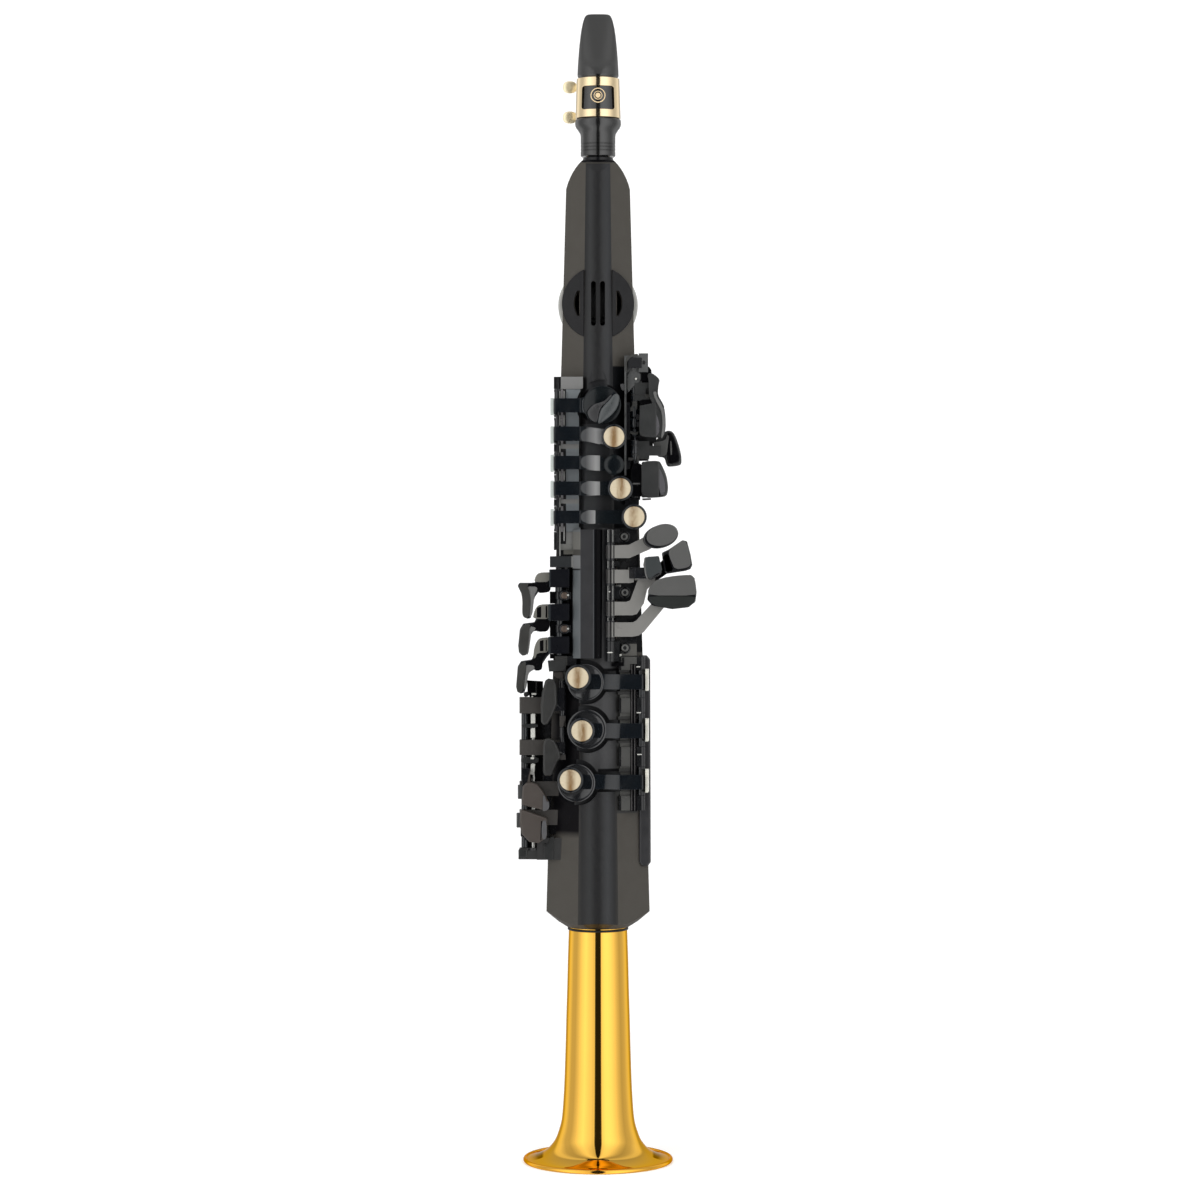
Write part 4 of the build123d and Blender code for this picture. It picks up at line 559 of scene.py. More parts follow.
# each group of posts: colour, x range, y range, z range, roughness
RAIL_GROUPS = [
    ((112, 117, 120), (-19.3, -10.3), (-18.9, -17.2), (384, 470), 0.3),
    ((112, 112, 111), (-22.4, -5), (-18.9, -17.2), (469.9, 480), 0.32),
    ((118, 118, 116), (-22.4, -11.4), (-18.9, -17.2), (434.0, 436.9), 0.32),
    ((118, 118, 116), (-22.4, -11.4), (-18.9, -17.2), (401.0, 403.7), 0.32),
    ((100, 100, 98), (-19.3, -10.3), (-18.9, -17.2), (376.6, 384.0), 0.34),
    ((96, 96, 93), (-22.9, -10.3), (-18.9, -17.2), (373.0, 376.6), 0.34),
    ((100, 100, 99), (-16.1, -9), (-20.4, -17.0), (362.0, 369.6), 0.34),
    ((26, 29, 31), (-30.0, -16.1), (-20.4, -17.0), (362.0, 369.6), 0.34),
    ((50, 47, 44), (-60, -18.6), (-30, 2), (200, 290), 0.42),
    ((38, 38, 38), (-60, -18.6), (-30, 2), (180, 200), 0.36),
    ((40, 40, 38), (-60, -18.6), (-30, 2), (290, 310), 0.36),
    ((72, 72, 69), (12.9, 22.7), (-18.6, -16.0), (214, 309), 0.36),
    ((66, 66, 64), (14.0, 23.4), (-19.8, -18.7), (214, 309), 0.34),
    ((74, 73, 69), (14.2, 27), (-19.0, -15.0), (309.2, 316.4), 0.4),
]
for color, x_range, y_range, z_range, rough in RAIL_GROUPS:
    RAILS.box(srgb(*color), x=x_range, y=y_range, z=z_range, soft=0.1, rough=rough)
RAILS.box(srgb(38, 38, 39), y=(12, 60), soft=0.2, rough=0.6)
refinish("key_rails", [RAILS])
refinish("palm_key_chassis", (RAIL_BLACK, RAIL),
         lambda x, y, z, normal_y: normal_y < -0.7 and (z > 478 or x < 17.2))

# table keys: grey arms, black parts under the touches
TABLE = Finish("table_key_finish", srgb(112, 111, 108), rough=0.34, vary=0.06,
               vary_scale=40, bump=0.14, bump_scale=1800, wear=0.35)
TABLE.box(srgb(16, 17, 19), x=(-20, 9.9), soft=0.1, rough=0.2)
TABLE.box(srgb(16, 17, 19), x=(18.6, 60), y=(-40, -24.9), soft=0.1, rough=0.25)
TABLE.box(srgb(11, 11, 12), x=(34.4, 60), z=(349.5, 371.5), soft=0.25, rough=0.3, spec=0.08)
for node in ("g_sharp_key", "low_c_sharp_key", "low_b_key", "low_b_flat_key"):
    refinish(node, (TABLE, RAIL_BLACK),
             lambda x, y, z, normal_y: y < -26.6 or (x > 25.0 and y < -24.9))
refinish("felt_bumpers", (FELT, FELT_GREY), lambda x, y, z, normal_y: x < 0)
SIDE_TOUCHES = (LITTLE_FINGER, RAIL_BLACK, F_SHARP)
for node in ("low_e_flat_key", "low_c_key"):
    refinish(node, SIDE_TOUCHES, lambda x, y, z, normal_y:
             0 if y < -15.9 or (x > -42 and y < -15.0) else 1)
for node in ("high_f_sharp_key", "alternate_f_sharp_key"):
    refinish(node, SIDE_TOUCHES,
             lambda x, y, z, normal_y: 2 if x < -24.4 or y < -20.5 else 1)
refinish("hinge_rods", (ROD, STEEL), lambda x, y, z, normal_y: -41 < x < -37.4)
refinish("speaker_wings", [WING])
for node in ("palm_d_key", "palm_e_flat_key", "palm_f_key"):
    refinish(node, [PALM_KEY])

# painted highlight on the bright left facet of the centre cover
GUARD.box(srgb(80, 84, 86), x=(-16, -10.6), z=(300, 390), soft=0.12, rough=0.28)
# painted shade on the cover's right part, in the gap beside the table rods
GUARD.box(srgb(9, 9, 11), x=(-2.8, 14), z=(300, 390), soft=0.12, rough=0.3, spec=0.05)
for color, z_range in (((94, 95, 96), (361.8, 369.8)), ((46, 44, 40), (369.8, 373.4)),
                       ((86, 85, 81), (373.4, 384.0)), ((12, 12, 13), (360.9, 361.9))):
    GUARD.box(srgb(*color), x=(-16, -10.6), z=z_range, soft=0.1, rough=0.3)
# painted highlight along the cover's right edge
GUARD.box(srgb(66, 68, 70), x=(-2.9, -2.35), z=(300, 390), soft=0.1, rough=0.25)
refinish("key_guards", [GUARD])
SCREW = Finish("screw_steel", srgb(120, 120, 118), rough=0.36, metallic=0.8, vary=0.08,
               bump=0.05)
refinish("fixing_screws", [SCREW])

# ------------------------------------------------------------------ bell
# outer face from top to rim: radius, z
BELL_OUTLINE = [
    (17.5, 172.0), (17.5, 150.0), (17.55, 147.0), (17.75, 143.0), (18.05, 134),
    (18.4, 123.5), (18.85, 105), (19.4, 87.0), (19.9, 68), (20.5, 50.0), (21.0, 40),
    (21.7, 30.0), (22.6, 23.5), (24.2, 18.0), (26.0, 13.4), (28.6, 9.6), (31.5, 6.7),
    (35.0, 4.6), (38.5, 3.15), (41.6, 2.4), (43.6, 2.15)]
BELL_SEGMENTS = 224
RIM_RADIUS, RIM_Z, RIM_WIRE = 44.25, 1.36, 1.42


def catmull(points, steps=6):
    """Smooth curve through the points."""
    p = [np.array(point, float) for point in points]
    p = [2 * p[0] - p[1]] + p + [2 * p[-1] - p[-2]]
    curve = []
    for i in range(1, len(p) - 2):
        a, b, c, d = p[i - 1:i + 3]
        for j in range(steps):
            t = j / steps
            curve.append(0.5 * ((2 * b) + (c - a) * t + (2 * a - 5 * b + 4 * c - d) * t * t
                                + (3 * b - a - 3 * c + d) * t ** 3))
    curve.append(p[-2])
    return [(float(r), float(z)) for r, z in curve]


def build_bell():
    outer = catmull(BELL_OUTLINE)
    inner = [(r - 0.85, z - 0.55) for r, z in reversed(outer) if z < 165]
    bell = lathe("bell_body", outer + [(44.0, 1.9), (43.4, 1.2)] + inner + [(16.3, 165.0)],
                 BRASS, segs=BELL_SEGMENTS, slot="lacquered_brass", split=60)
    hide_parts("bell")
    wire = []
    for i in range(25):
        angle = 2 * math.pi * i / 24
        # flattened where it would pass through the floor
        wire.append((RIM_RADIUS + RIM_WIRE * math.cos(angle),
                     max(0.0, RIM_Z + RIM_WIRE * math.sin(angle))))
    lathe("bell_rim", wire, RIM, segs=BELL_SEGMENTS, slot="lacquered_brass", split=60)
    lathe("bell_collar", [(17.6, 143.2), (18.3, 143.0), (18.55, 142.6), (18.45, 141.9),
                          (17.9, 141.6)], BED, segs=128)


build_bell()

# ------------------------------------------------------------------ mouthpiece
# z, half width
MOUTH_WIDTHS = [
    (611.4, 10.0), (611.8, 10.4), (612.4, 10.55), (614.5, 10.55), (614.7, 10.3),
    (615.0, 10.3), (615.2, 10.55), (616.5, 10.55), (616.7, 10.3), (617.0, 10.3),
    (617.2, 10.55), (618.5, 10.55), (618.7, 10.3), (619.0, 10.3), (619.2, 10.55),
    (623.6, 10.55), (625.2, 10.8), (627.0, 11.9), (628.6, 13.1), (629.8, 13.7),
    (631.0, 13.95), (633.0, 13.95), (633.7, 13.7), (634.2, 13.0), (634.5, 12.8),
    (640, 12.55), (650, 12.1), (658.6, 11.75), (659.2, 11.9), (659.8, 12.35),
    (660.6, 12.5), (663, 12.42), (668, 12.15), (674, 11.75), (680, 11.25), (686, 10.6),
    (690, 10.0), (694, 9.15), (696.5, 8.35), (698.0, 7.5), (698.8, 6.3), (699.0, 4.6)]
# z, y of the sloping beak on the front; -99 is clear of the round part
MOUTH_FRONTS = [
    (611, -99), (659.6, -99), (660.4, -12.4), (662.5, -12.2), (664.5, -11.4),
    (667.0, -9.6), (670.0, -7.7), (675.0, -5.1), (680.0, -2.5), (686.0, 0.6),
    (692.0, 3.7), (696.0, 5.8), (698.6, 7.2), (699.0, 7.6)]
MOUTH_BORE = ((9.3, 611.4), (7.66, 612.0), (7.66, 652.0), (6.2, 652.3), (6.2, 668.0))
MOUTH_SEGMENTS = 128
MOUTH_BACK = 8.9  # y of the flat on the back
BACK_FLAT_START = 628.5


def interpolate(table, z):
    for (a, u), (b, v) in zip(table, table[1:]):
        if a <= z <= b:
            return u + (v - u) * (z - a) / (b - a)


def clamp01(value):
    return min(1.0, max(0.0, value))


def mouth_section(z):
    """Round below; above, a squarish section between the beak and the back flat."""
    width = interpolate(MOUTH_WIDTHS, z)
    front = interpolate(MOUTH_FRONTS, z)
    if front < -50:
        back = MOUTH_BACK if z > BACK_FLAT_START else 99
        return [(width * c, min(width * s, back), z) for c, s in circle(MOUTH_SEGMENTS)]
    front = max(front, -width)
    power = 2.0 + 0.9 * clamp01((z - 660) / 32)
    middle = (front + MOUTH_BACK) / 2
    half_depth = max(0.15, (MOUTH_BACK - front) / 2)
    wedge = clamp01((z - 661.0) / 9.0)
    wedge = wedge * wedge * (3 - 2 * wedge)
    section = []
    for c, s in circle(MOUTH_SEGMENTS):
        square_x = width * math.copysign(abs(c) ** (2 / power), c)
        square_y = middle + half_depth * math.copysign(abs(s) ** (2 / power), s)
        round_y = max(min(width * s, MOUTH_BACK), front)
        section.append((width * c * (1 - wedge) + square_x * wedge,
                        min(MOUTH_BACK, round_y * (1 - wedge) + square_y * wedge), z))
    return section


def build_mouthpiece():
    count = MOUTH_SEGMENTS
    stations = sorted(set([z for z, _ in MOUTH_WIDTHS]
                          + [634.6 + 1.5 * i for i in range(16)]
                          + [660.6 + 0.9 * i for i in range(42)] + [698.3, 698.6]))
    verts = [point for z in stations for point in mouth_section(z)]
    faces = ring_faces(len(stations), count)
    bore = len(verts)
    faces.append(tuple(range(bore - count, bore)))
    verts += [(r * c, r * s, z) for r, z in MOUTH_BORE for c, s in circle(count)]
    for i in range(count):
        k = (i + 1) % count
        faces.append((i, k, bore + k, bore + i))
    faces += ring_faces(len(MOUTH_BORE), count, start=bore)
    EBONITE.box(srgb(22, 22, 21), z=(660.2, 720), soft=0.3, rough=0.42)
    piece = add_mesh("mouthpiece_body", verts, faces, EBONITE, "mouthpiece_group",
                     slot="ebonite", split=42)
    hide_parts("mouthpiece")


build_mouthpiece()

PRINTED_GOLD = Finish("printed_gold", srgb(214, 190, 150), spec=0.3, vary=0.05, bump=0.0)


def wrap_ring(name, inner_radius, width):
    """Flat ring laid on the tapering barrel, in the ligature window."""
    centre_z, barrel_radius, barrel_z, taper, count = 647.3, 12.86, 640, 0.045, 64
    verts, faces = [], []
    for c, s in circle(count):
        for r in (inner_radius, inner_radius + width):
            x, z = r * c, centre_z + r * s
            barrel = barrel_radius - (z - barrel_z) * taper
            verts.append((x, -math.sqrt(barrel * barrel - x * x) - 0.05, z))
    for i in range(count):
        k = (i + 1) % count
        faces.append((2 * i, 2 * i + 1, 2 * k + 1, 2 * k))
    add_mesh(name, verts, faces, PRINTED_GOLD, "mouthpiece_group", slot="pale_gold")


wrap_ring("window_ring", 3.95, 0.55)
wrap_ring("window_dot", 0.0, 1.5)
wrap_ring("window_inner_ring", 2.2, 0.4)

THUMB_GOLD = Finish("thumb_screw_gold", (1.0, 0.86, 0.58, 1), rough=0.30, metallic=0.75,
                    vary=0.04, vary_scale=80, rough_vary=0.05, bump=0.05, bump_scale=1200,
                    wear=0.2, wear_color=(0.98, 0.9, 0.7, 1))
THUMB_X, THUMB_Y = -17.2, 15.6
# half width, half thickness and half height of a paddle
PADDLE_X, PADDLE_Y, PADDLE_Z = 4.25, 1.15, 3.75


def build_thumb_screw(place, z):
    """Crowned paddle on a stem along X."""
    around, rings = 40, 17
    node = "ligature_screw_" + place
    verts = []
    for j in range(rings):
        tilt = -math.pi / 2 + math.pi * j / (rings - 1)
        spread = math.cos(tilt) ** 0.55 if math.cos(tilt) > 0 else 0
        for c, s in circle(around):
            dx = math.copysign(abs(c) ** 0.78, c) * PADDLE_X * spread
            dz = math.copysign(abs(s) ** 0.78, s) * PADDLE_Z * spread
            verts.append((THUMB_X + dx, THUMB_Y + PADDLE_Y * math.sin(tilt), z + dz))
    paddle = add_mesh("ligature_thumb_" + place, verts, ring_faces(rings, around),
                      THUMB_GOLD, node, slot="pale_gold", split=60)
    lathe("ligature_stem_" + place,
          [(0.001, -13.6), (1.7, -13.4), (1.9, -12.8), (1.9, -9.6), (1.6, -9.2),
           (1.3, -9.0), (1.3, 10.0), (1.1, 10.4), (0.001, 10.4)],
          THUMB_GOLD, node, axis="X", centre=(0, THUMB_Y, z), segs=40, slot="pale_gold")
    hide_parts(node)


build_thumb_screw("upper", 655.6)
build_thumb_screw("lower", 637.2)

# ------------------------------------------------------------------ pearls
# key, x, z, y of the face, radius
PEARLS = [
    ("a_key", 13.4, 410.0, -29.4, 6.2), ("b_key", 9.6, 441.0, -29.4, 6.2),
    ("g_key", 21.7, 393.0, -29.4, 6.2), ("rh_d_key", -16.6, 234.9, -30.2, 6.32),
    ("rh_e_key", -9.7, 264.5, -30.2, 6.32), ("rh_f_key", -12.0, 296.5, -30.2, 6.32)]
# share of the radius, y offset: dished face with a raised lip
PEARL_FACE = ((0.25, 0.49), (0.5, 0.36), (0.75, 0.12), (0.88, -0.10), (0.95, -0.26),
              (0.985, -0.28), (1, -0.10), (1, 1.6))
# radius beyond the pearl, y offset
CUP_RING = ((0.14, 0.3), (0.3, -0.12), (0.75, -0.22), (1.15, 0.02), (1.3, 0.6))
for i, (key, x, z, y, radius) in enumerate(PEARLS):
    profile = [(0.0001, y + 0.52)] + [(radius * share, y + dy) for share, dy in PEARL_FACE]
    disc = lathe(key + "_pearl_disc", profile + [(0.0001, y + 1.6)],
                 pearl_finish(f"pearl_{i}", i + 1, x), key, axis="Y", centre=(x, 0, z),
                 segs=72, slot="pearl", split=50)
    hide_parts(key + "_pearl")
    lathe(key + "_cup_ring", [(radius + dr, y + dy) for dr, dy in CUP_RING], KEY, key,
          axis="Y", centre=(x, 0, z), segs=72, slot="key_black", split=60)

for node in ("side_e_key", "side_c_key", "side_b_flat_key"):
    refinish(node, [KEY])


# ------------------------------------------------------------------ palm keys
def creased(name, outline, crease_x, slope, front, back, body):
    """Plate whose face falls back on the right of an upright crease."""
    loop = smooth_loop(outline)
    ring = []
    for a, b in zip(loop, loop[1:] + loop[:1]):
        ring.append(a)
        if (a[0] - crease_x) * (b[0] - crease_x) < 0:
            t = (crease_x - a[0]) / (b[0] - a[0])
            ring.append((crease_x, a[1] + t * (b[1] - a[1])))
    count = len(ring)
    verts = [(x, min(front + max(0.0, x - crease_x) * slope, back - 0.6), z)
             for x, z in ring]
    verts += [(x, back, z) for x, z in ring]
    faces = [tuple(i for i in range(count) if ring[i][0] <= crease_x + 1e-9),
             tuple(i for i in range(count) if ring[i][0] >= crease_x - 1e-9),
             tuple(reversed(range(count, 2 * count)))]
    add_mesh(name, verts, faces + ring_faces(2, count), PALM_KEY, body, bevel=0.9,
             segments=4, slot="key_black")


creased("palm_d_touch", [
    (25.2, 460.0), (24.7, 444.0), (26.2, 441.2), (38.4, 440.6), (40.4, 443.2),
    (41.0, 448.7), (40.4, 458.0), (37.4, 461.8), (33.0, 461.4)],
    crease_x=34.6, slope=0.75, front=-20.4, back=-12.0, body="palm_d_key")
slab("palm_d_lever", [
    (29.6, 478.9), (32.0, 479.8), (34.9, 478.0), (37.3, 475.6), (36.4, 472.2),
    (36.0, 466.4), (38.6, 462.2), (40.6, 458.0), (34.0, 458.0), (32.6, 461.6),
    (30.6, 466.4), (30.6, 475.0)],
    -19.9, -12.0, PALM_KEY, "palm_d_key", bevel=1.4, segments=5, slot="key_black")
creased("palm_e_flat_touch", [
    (25.9, 426.4), (36.5, 426.9), (38.2, 425.0), (41.4, 418.0), (42.5, 410.9),
    (41.8, 406.2), (39.6, 404.9), (25.8, 404.2), (26.3, 418.6)],
    crease_x=36.6, slope=0.9, front=-20.3, back=-11.6, body="palm_e_flat_key")
creased("palm_f_touch", [
    (33.8, 438.6), (41.0, 445.2), (44.4, 445.2), (46.6, 442.9), (48.9, 437.0),
    (50.6, 430.4), (50.8, 425.6), (49.6, 424.2), (42.7, 423.3), (41.4, 425.0),
    (40.4, 429.2), (36.3, 429.4), (34.6, 433.3)],
    crease_x=43.6, slope=0.8, front=-8.4, back=0.6, body="palm_f_key")

# dark blocks, a bracket and tubes behind the palm keys
boxes("palm_bed_blocks", [
    (17.3, 25.6, -9.4, -4.0, 403.4, 421.0), (17.3, 30.6, -8.6, -4.0, 427.0, 434.0),
    (17.3, 33.2, -8.6, -4.0, 434.0, 437.4), (17.3, 35.4, -8.6, -4.0, 437.4, 444.4),
    (17.3, 24.8, -8.6, -4.0, 421.0, 427.0), (17.3, 28.6, -8.8, -4.0, 444.4, 461.8),
    (17.3, 30.0, -8.6, -4.0, 461.8, 483.0), (18.2, 26.4, -17.5, -15.2, 482.8, 489.0)],
    BED, slot="rail_grey")
slab("palm_bracket", [(17.6, 481.5), (25.8, 480.4), (25.6, 474.8), (22.0, 472.6),
                      (19.4, 469.4), (17.6, 467.6)],
     -15.4, -14.4, RAIL, rounds=1, bevel=0.25, slot="rail_grey")
lathe("palm_bracket_pin", [(0.001, -15.9), (0.6, -15.9), (0.8, -15.7), (0.8, -15.3)], STEEL,
      axis="Y", centre=(23.0, 0, 476.2), segs=24, slot="steel")
# what each tube rides on, and its z range
PALM_SLEEVES = [
    ("palm_e_flat_key", 405.2, 408.2), ("palm_e_flat_key", 409.4, 416.2),
    ("palm_e_flat_key", 417.6, 421.0), ("palm_f_key", 427.6, 430.4),
    ("palm_f_key", 431.2, 436.0), ("palm_f_key", 436.6, 439.0), ("body", 442.0, 446.0),
    ("body", 447.0, 452.4), ("body", 453.4, 459.6), ("palm_d_key", 463.0, 466.2),
    ("palm_d_key", 467.4, 475.0), ("palm_d_key", 475.8, 479.2)]
for i, (body, z0, z1) in enumerate(PALM_SLEEVES):
    sleeve(f"palm_sleeve_{i:02d}", 2.2, 2.38, z0, z1, KEY, body, PALM_ROD, segs=32)

# ------------------------------------------------------------------ collars on the rods
# rod axis, tube radius, and the tube of each key on it: key, z range
ROD_TUBES = [
    (STACK_ROD, 2.2, [("front_f_key", 453.0, 469.9), ("b_key", 437.0, 452.8),
                      ("bis_key", 418.5, 432.0), ("a_key", 403.8, 418.3),
                      ("g_key", 384.1, 399.4)]),
    (LOWER_ROD, 2.2, [("rh_f_key", 284.1, 300.3), ("rh_e_key", 254.5, 274.6),
                      ("rh_d_key", 225.0, 242.1)]),
    (TABLE_ROD, 2.45, [("g_sharp_key", 366.6, 377.4), ("low_c_sharp_key", 351.4, 363.0),
                       ("low_b_key", 332.0, 343.6), ("low_b_flat_key", 318.2, 331.0)])]
for rod, radius, tubes in ROD_TUBES:
    for key, z0, z1 in tubes:
        for j, (low, high) in enumerate(((z0 + 0.15, z0 + 1.6), (z1 - 1.6, z1 - 0.15))):
            sleeve(f"{key}_collar_{j}", radius - 0.05, radius + 0.22, low, high,
                   RAIL_BLACK, key, rod, lead=0.12)

# little-finger rods: stout tubes, rings, bed and tabs
for i, (z0, z1) in enumerate(((191.8, 199.0), (206.0, 206.35), (215.7, 223.9),
                              (258.1, 273.9))):
    sleeve(f"little_finger_tube_{i}", 1.3, 2.0, z0, z1, KEY, "body", (-44.5, -9.0))
for i, z in enumerate((245.4, 259.2, 266.8, 272.0)):
    sleeve(f"little_finger_ring_{i}", 1.55, 2.3, z, z + 1.1, RAIL_BLACK, "body",
           (-39.1, -9.0), lead=0.1)
boxes("little_finger_bed", [(-37.2, -25.6, -4.4, -2.4, 189.0, 286.0),
                            (-33.4, -25.2, -9.6, -4.0, 192.0, 248.0)],
      RAIL_BLACK, slot="rail_grey")
boxes("little_finger_tabs", [(-48.6, -45.4, -12.6, -9.8, 222.2, 230.8),
                             (-49.4, -46.8, -12.6, -9.8, 204.8, 213.8)],
      RAIL, bevel=0.5, slot="rail_grey")

# ------------------------------------------------------------------ screws
# brass pivots between the side-key barrels
for i, z in enumerate((345.6, 325.5)):
    lathe(f"side_pivot_{i}", [(0.001, -20.75), (0.9, -20.75), (1.5, -20.6), (2.1, -20.2),
                              (2.1, -19.9)],
          PIN, axis="Y", centre=(-20.2, 0, z), segs=40, slot="spring_steel")
    lathe(f"side_pivot_well_{i}", [(2.2, -20.1), (2.35, -20.4), (2.9, -20.5), (3.1, -20.0)],
          RAIL_BLACK, axis="Y", centre=(-20.2, 0, z), segs=40, slot="rail_grey")
# hexagon socket screws
for i, (x, z) in enumerate(((15.8, 381.1), (16.2, 347.4), (16.2, 314.0))):
    socket = {"axis": "Y", "centre": (x, 0, z)}
    lathe(f"hex_ring_{i}", [(1.15, -19.0), (1.2, -19.34), (1.45, -19.42), (2.05, -19.40),
                            (2.28, -19.2), (2.3, -18.6)],
          SCREW, segs=48, slot="steel", **socket)
    lathe(f"hex_well_{i}", [(0.001, -18.9), (1.2, -18.9)], BED, segs=6, slot="steel",
          **socket)
    lathe(f"hex_seat_{i}", [(2.34, -17.95), (3.2, -18.2), (3.6, -17.95)], RAIL_BLACK,
          segs=48, slot="rail_grey", **socket)

# ------------------------------------------------------------------ dished lids
LID = Finish("key_lid", srgb(24, 25, 27), rough=0.13, spec=0.9, vary=0.06, vary_scale=90)
FRONT_F_LID = Finish("front_f_lid", srgb(17, 21, 23), rough=0.12, spec=0.30, vary=0.06,
                     vary_scale=90)
DISH_STEPS = 14


def build_lid(key, centre, profile, finish):
    lathe(key + "_lid", profile, finish, key, axis="Y", centre=(centre[0], 0, centre[1]),
          segs=128, slot="key_black", split=60)


def rimmed_lid(key, radius, sphere=30.0, depth=1.6, face=-24.95):
    """Lid with a spherical dish inside a flat rim; face is the y of the rim."""
    dish = math.sqrt(sphere ** 2 - (sphere - depth) ** 2)
    profile = []
    for j in range(DISH_STEPS + 1):
        r = max(0.0005, dish * j / DISH_STEPS)
        profile.append((r, face + math.sqrt(sphere ** 2 - r ** 2) - (sphere - depth) - 0.02))
    profile += [(dish + 0.25, face - 0.12), (radius - 0.45, face - 0.12),
                (radius - 0.1, face + 0.1), (radius + 0.06, face + 0.5),
                (radius + 0.06, face + 3.0)]
    build_lid(key, ROUND_KEYS[key], profile, LID)


def full_lid(key, centre, radius, sphere, depth, face):
    """Lid dished almost to its edge."""
    dish = radius - 0.5
    sag = sphere - math.sqrt(sphere ** 2 - dish ** 2)
    profile = []
    for j in range(DISH_STEPS + 1):
        r = max(0.0005, dish * j / DISH_STEPS)
        profile.append(
            (r, face + depth - (sphere - math.sqrt(sphere ** 2 - r ** 2)) * depth / sag))
    profile += [(radius - 0.2, face - 0.02), (radius + 0.04, face + 0.3),
                (radius + 0.04, face + 2.2)]
    build_lid(key, centre, profile, FRONT_F_LID)


rimmed_lid("rh_f_key", 11.0)
rimmed_lid("rh_e_key", 12.0)
rimmed_lid("rh_d_key", 11.5)
full_lid("front_f_key", ROUND_KEYS["front_f_key"], radius=11.4, sphere=26.0, depth=1.4,
         face=-26.9)
full_lid("bis_key", (9.6, 424.3), radius=6.1, sphere=17.0, depth=0.9, face=-26.65)

# crowned two-lobed touch of the high front F key
LOBE = {"rough": 0.3, "vary": 0.06, "bump": 0.1, "bump_scale": 2400, "wear": 0.2}
LOBE_DARK = Finish("front_f_lobe_dark", srgb(46, 46, 47), **LOBE)
LOBE_LIGHT = Finish("front_f_lobe", srgb(62, 65, 66), **LOBE)
dome("front_f_lobe_left", [
    (-6.6, 455.9), (-4.8, 458.3), (-2.4, 460.58), (1.2, 461.54), (4.2, 462.74),
    (7.8, 466.46), (9.0, 466.1), (6.0, 462.5), (3.0, 459.8), (1.2, 457.1), (0.18, 453.5),
    (-0.42, 449.54), (-3.6, 450.5), (-5.76, 452.9)],
    -29.3, -26.0, LOBE_DARK, "front_f_key", rise=0.35, edge=0.7, slot="key_black")
dome("front_f_lobe_right", [
    (9.36, 466.34), (11.4, 467.06), (12.84, 465.5), (12.96, 463.1), (12.0, 459.2),
    (9.96, 455.9), (6.3, 452.3), (1.8, 448.94), (-0.24, 448.94), (0.36, 453.5),
    (1.56, 457.1), (3.6, 459.92), (6.6, 462.86)],
    -29.7, -26.0, LOBE_LIGHT, "front_f_key", rise=0.9, edge=0.7, slot="key_black")

# ------------------------------------------------------------------ key and bell paint
# painted reflections on the flared ends of the left-hand levers
LEVER_BLACK = srgb(13, 17, 20)
KEY.box(LEVER_BLACK, x=(-10.7, 1.6), y=(-27.16, -24.3), z=(386, 470), soft=0.12, spec=0.06)
for z, radius_z in ((441.4, 5.3), (425.9, 4.6), (410.3, 4.4), (392.9, 4.2)):
    KEY.oval(srgb(66, 67, 68), (0.0, z), (10.3, radius_z), x_max=2.2, power=2.6)
# painted reflection: a bright band fading to the left over the flares
KEY.box(srgb(126, 126, 126), x=(-4.4, 2.0), y=(-27.16, -24.2), z=(386, 448),
        soft={"x": 3.0, "y": 0.2, "z": 0.2}, rough=0.3)
KEY.box(LEVER_BLACK, x=(1.2, 14), y=(-27.6, -24.2), z=(386, 436.8), soft=0.2, spec=0.4)
KEY.box(LEVER_BLACK, x=(-1.6, 14), y=(-27.6, -24.2), z=(386, 400), soft=0.2, spec=0.4)
# painted grey reflection at the left of the front F key's dish
KEY.oval(srgb(66, 68, 70), (-6.2, 459.8), (3.2, 4.6), x_max=-3.4)

# dark top of the bell, and painted dark reflections at both ends of its rim
BRASS.box((0.06, 0.035, 0.015, 1), z=(144.5, 200), soft=0.3)
for x_range in ((-43.0, -33.5), (33.5, 43.0)):
    for finish in (BRASS, RIM):
        finish.box((0.20, 0.07, 0.015, 1), x=x_range, y=(-12, 40), z=(3.0, 7.0), soft=0.6)


# ------------------------------------------------------------------ finishes of fine parts
def fitting(name, *color, rough=0.36, spec=0.45, wear=0.2):
    return Finish(name, srgb(*color), rough=rough, spec=spec, vary=0.07, bump=0.1,
                  bump_scale=2400, wear=wear)


C_SHARP = fitting("low_c_sharp_touch", 44, 48, 49, rough=0.42)
# pale grey for painted highlights along the lit edges of touches
EDGE = fitting("painted_edge_highlight", 92, 92, 91, rough=0.34)
HEEL = fitting("low_b_flat_shaded_heel", 34, 36, 35, rough=0.42, spec=0.2)
BLACK = fitting("mechanism_black", 8, 8, 10, rough=0.22, spec=0.12, wear=0.12)
BARREL = fitting("barrel_black", 13, 14, 18, rough=0.30, spec=0.10, wear=0.15)
# painted highlight on the left side of the side-key barrels
BARREL.box(srgb(40, 44, 46), x=(-40, -28.6), soft=0.2)
SIDE_ARM = fitting("side_arm_grey", 98, 97, 91, rough=0.42, spec=0.35)
PALM_LEVER = fitting("palm_lever_grey", 66, 66, 65)
PALM_GREY = fitting("palm_fitting_grey", 50, 50, 48)
PALM_DARK = fitting("palm_fitting_dark", 30, 30, 32)
EAR = fitting("rail_ear_grey", 62, 62, 63, rough=0.34)
SPRING_BOX = fitting("spring_box_grey", 46, 46, 45)
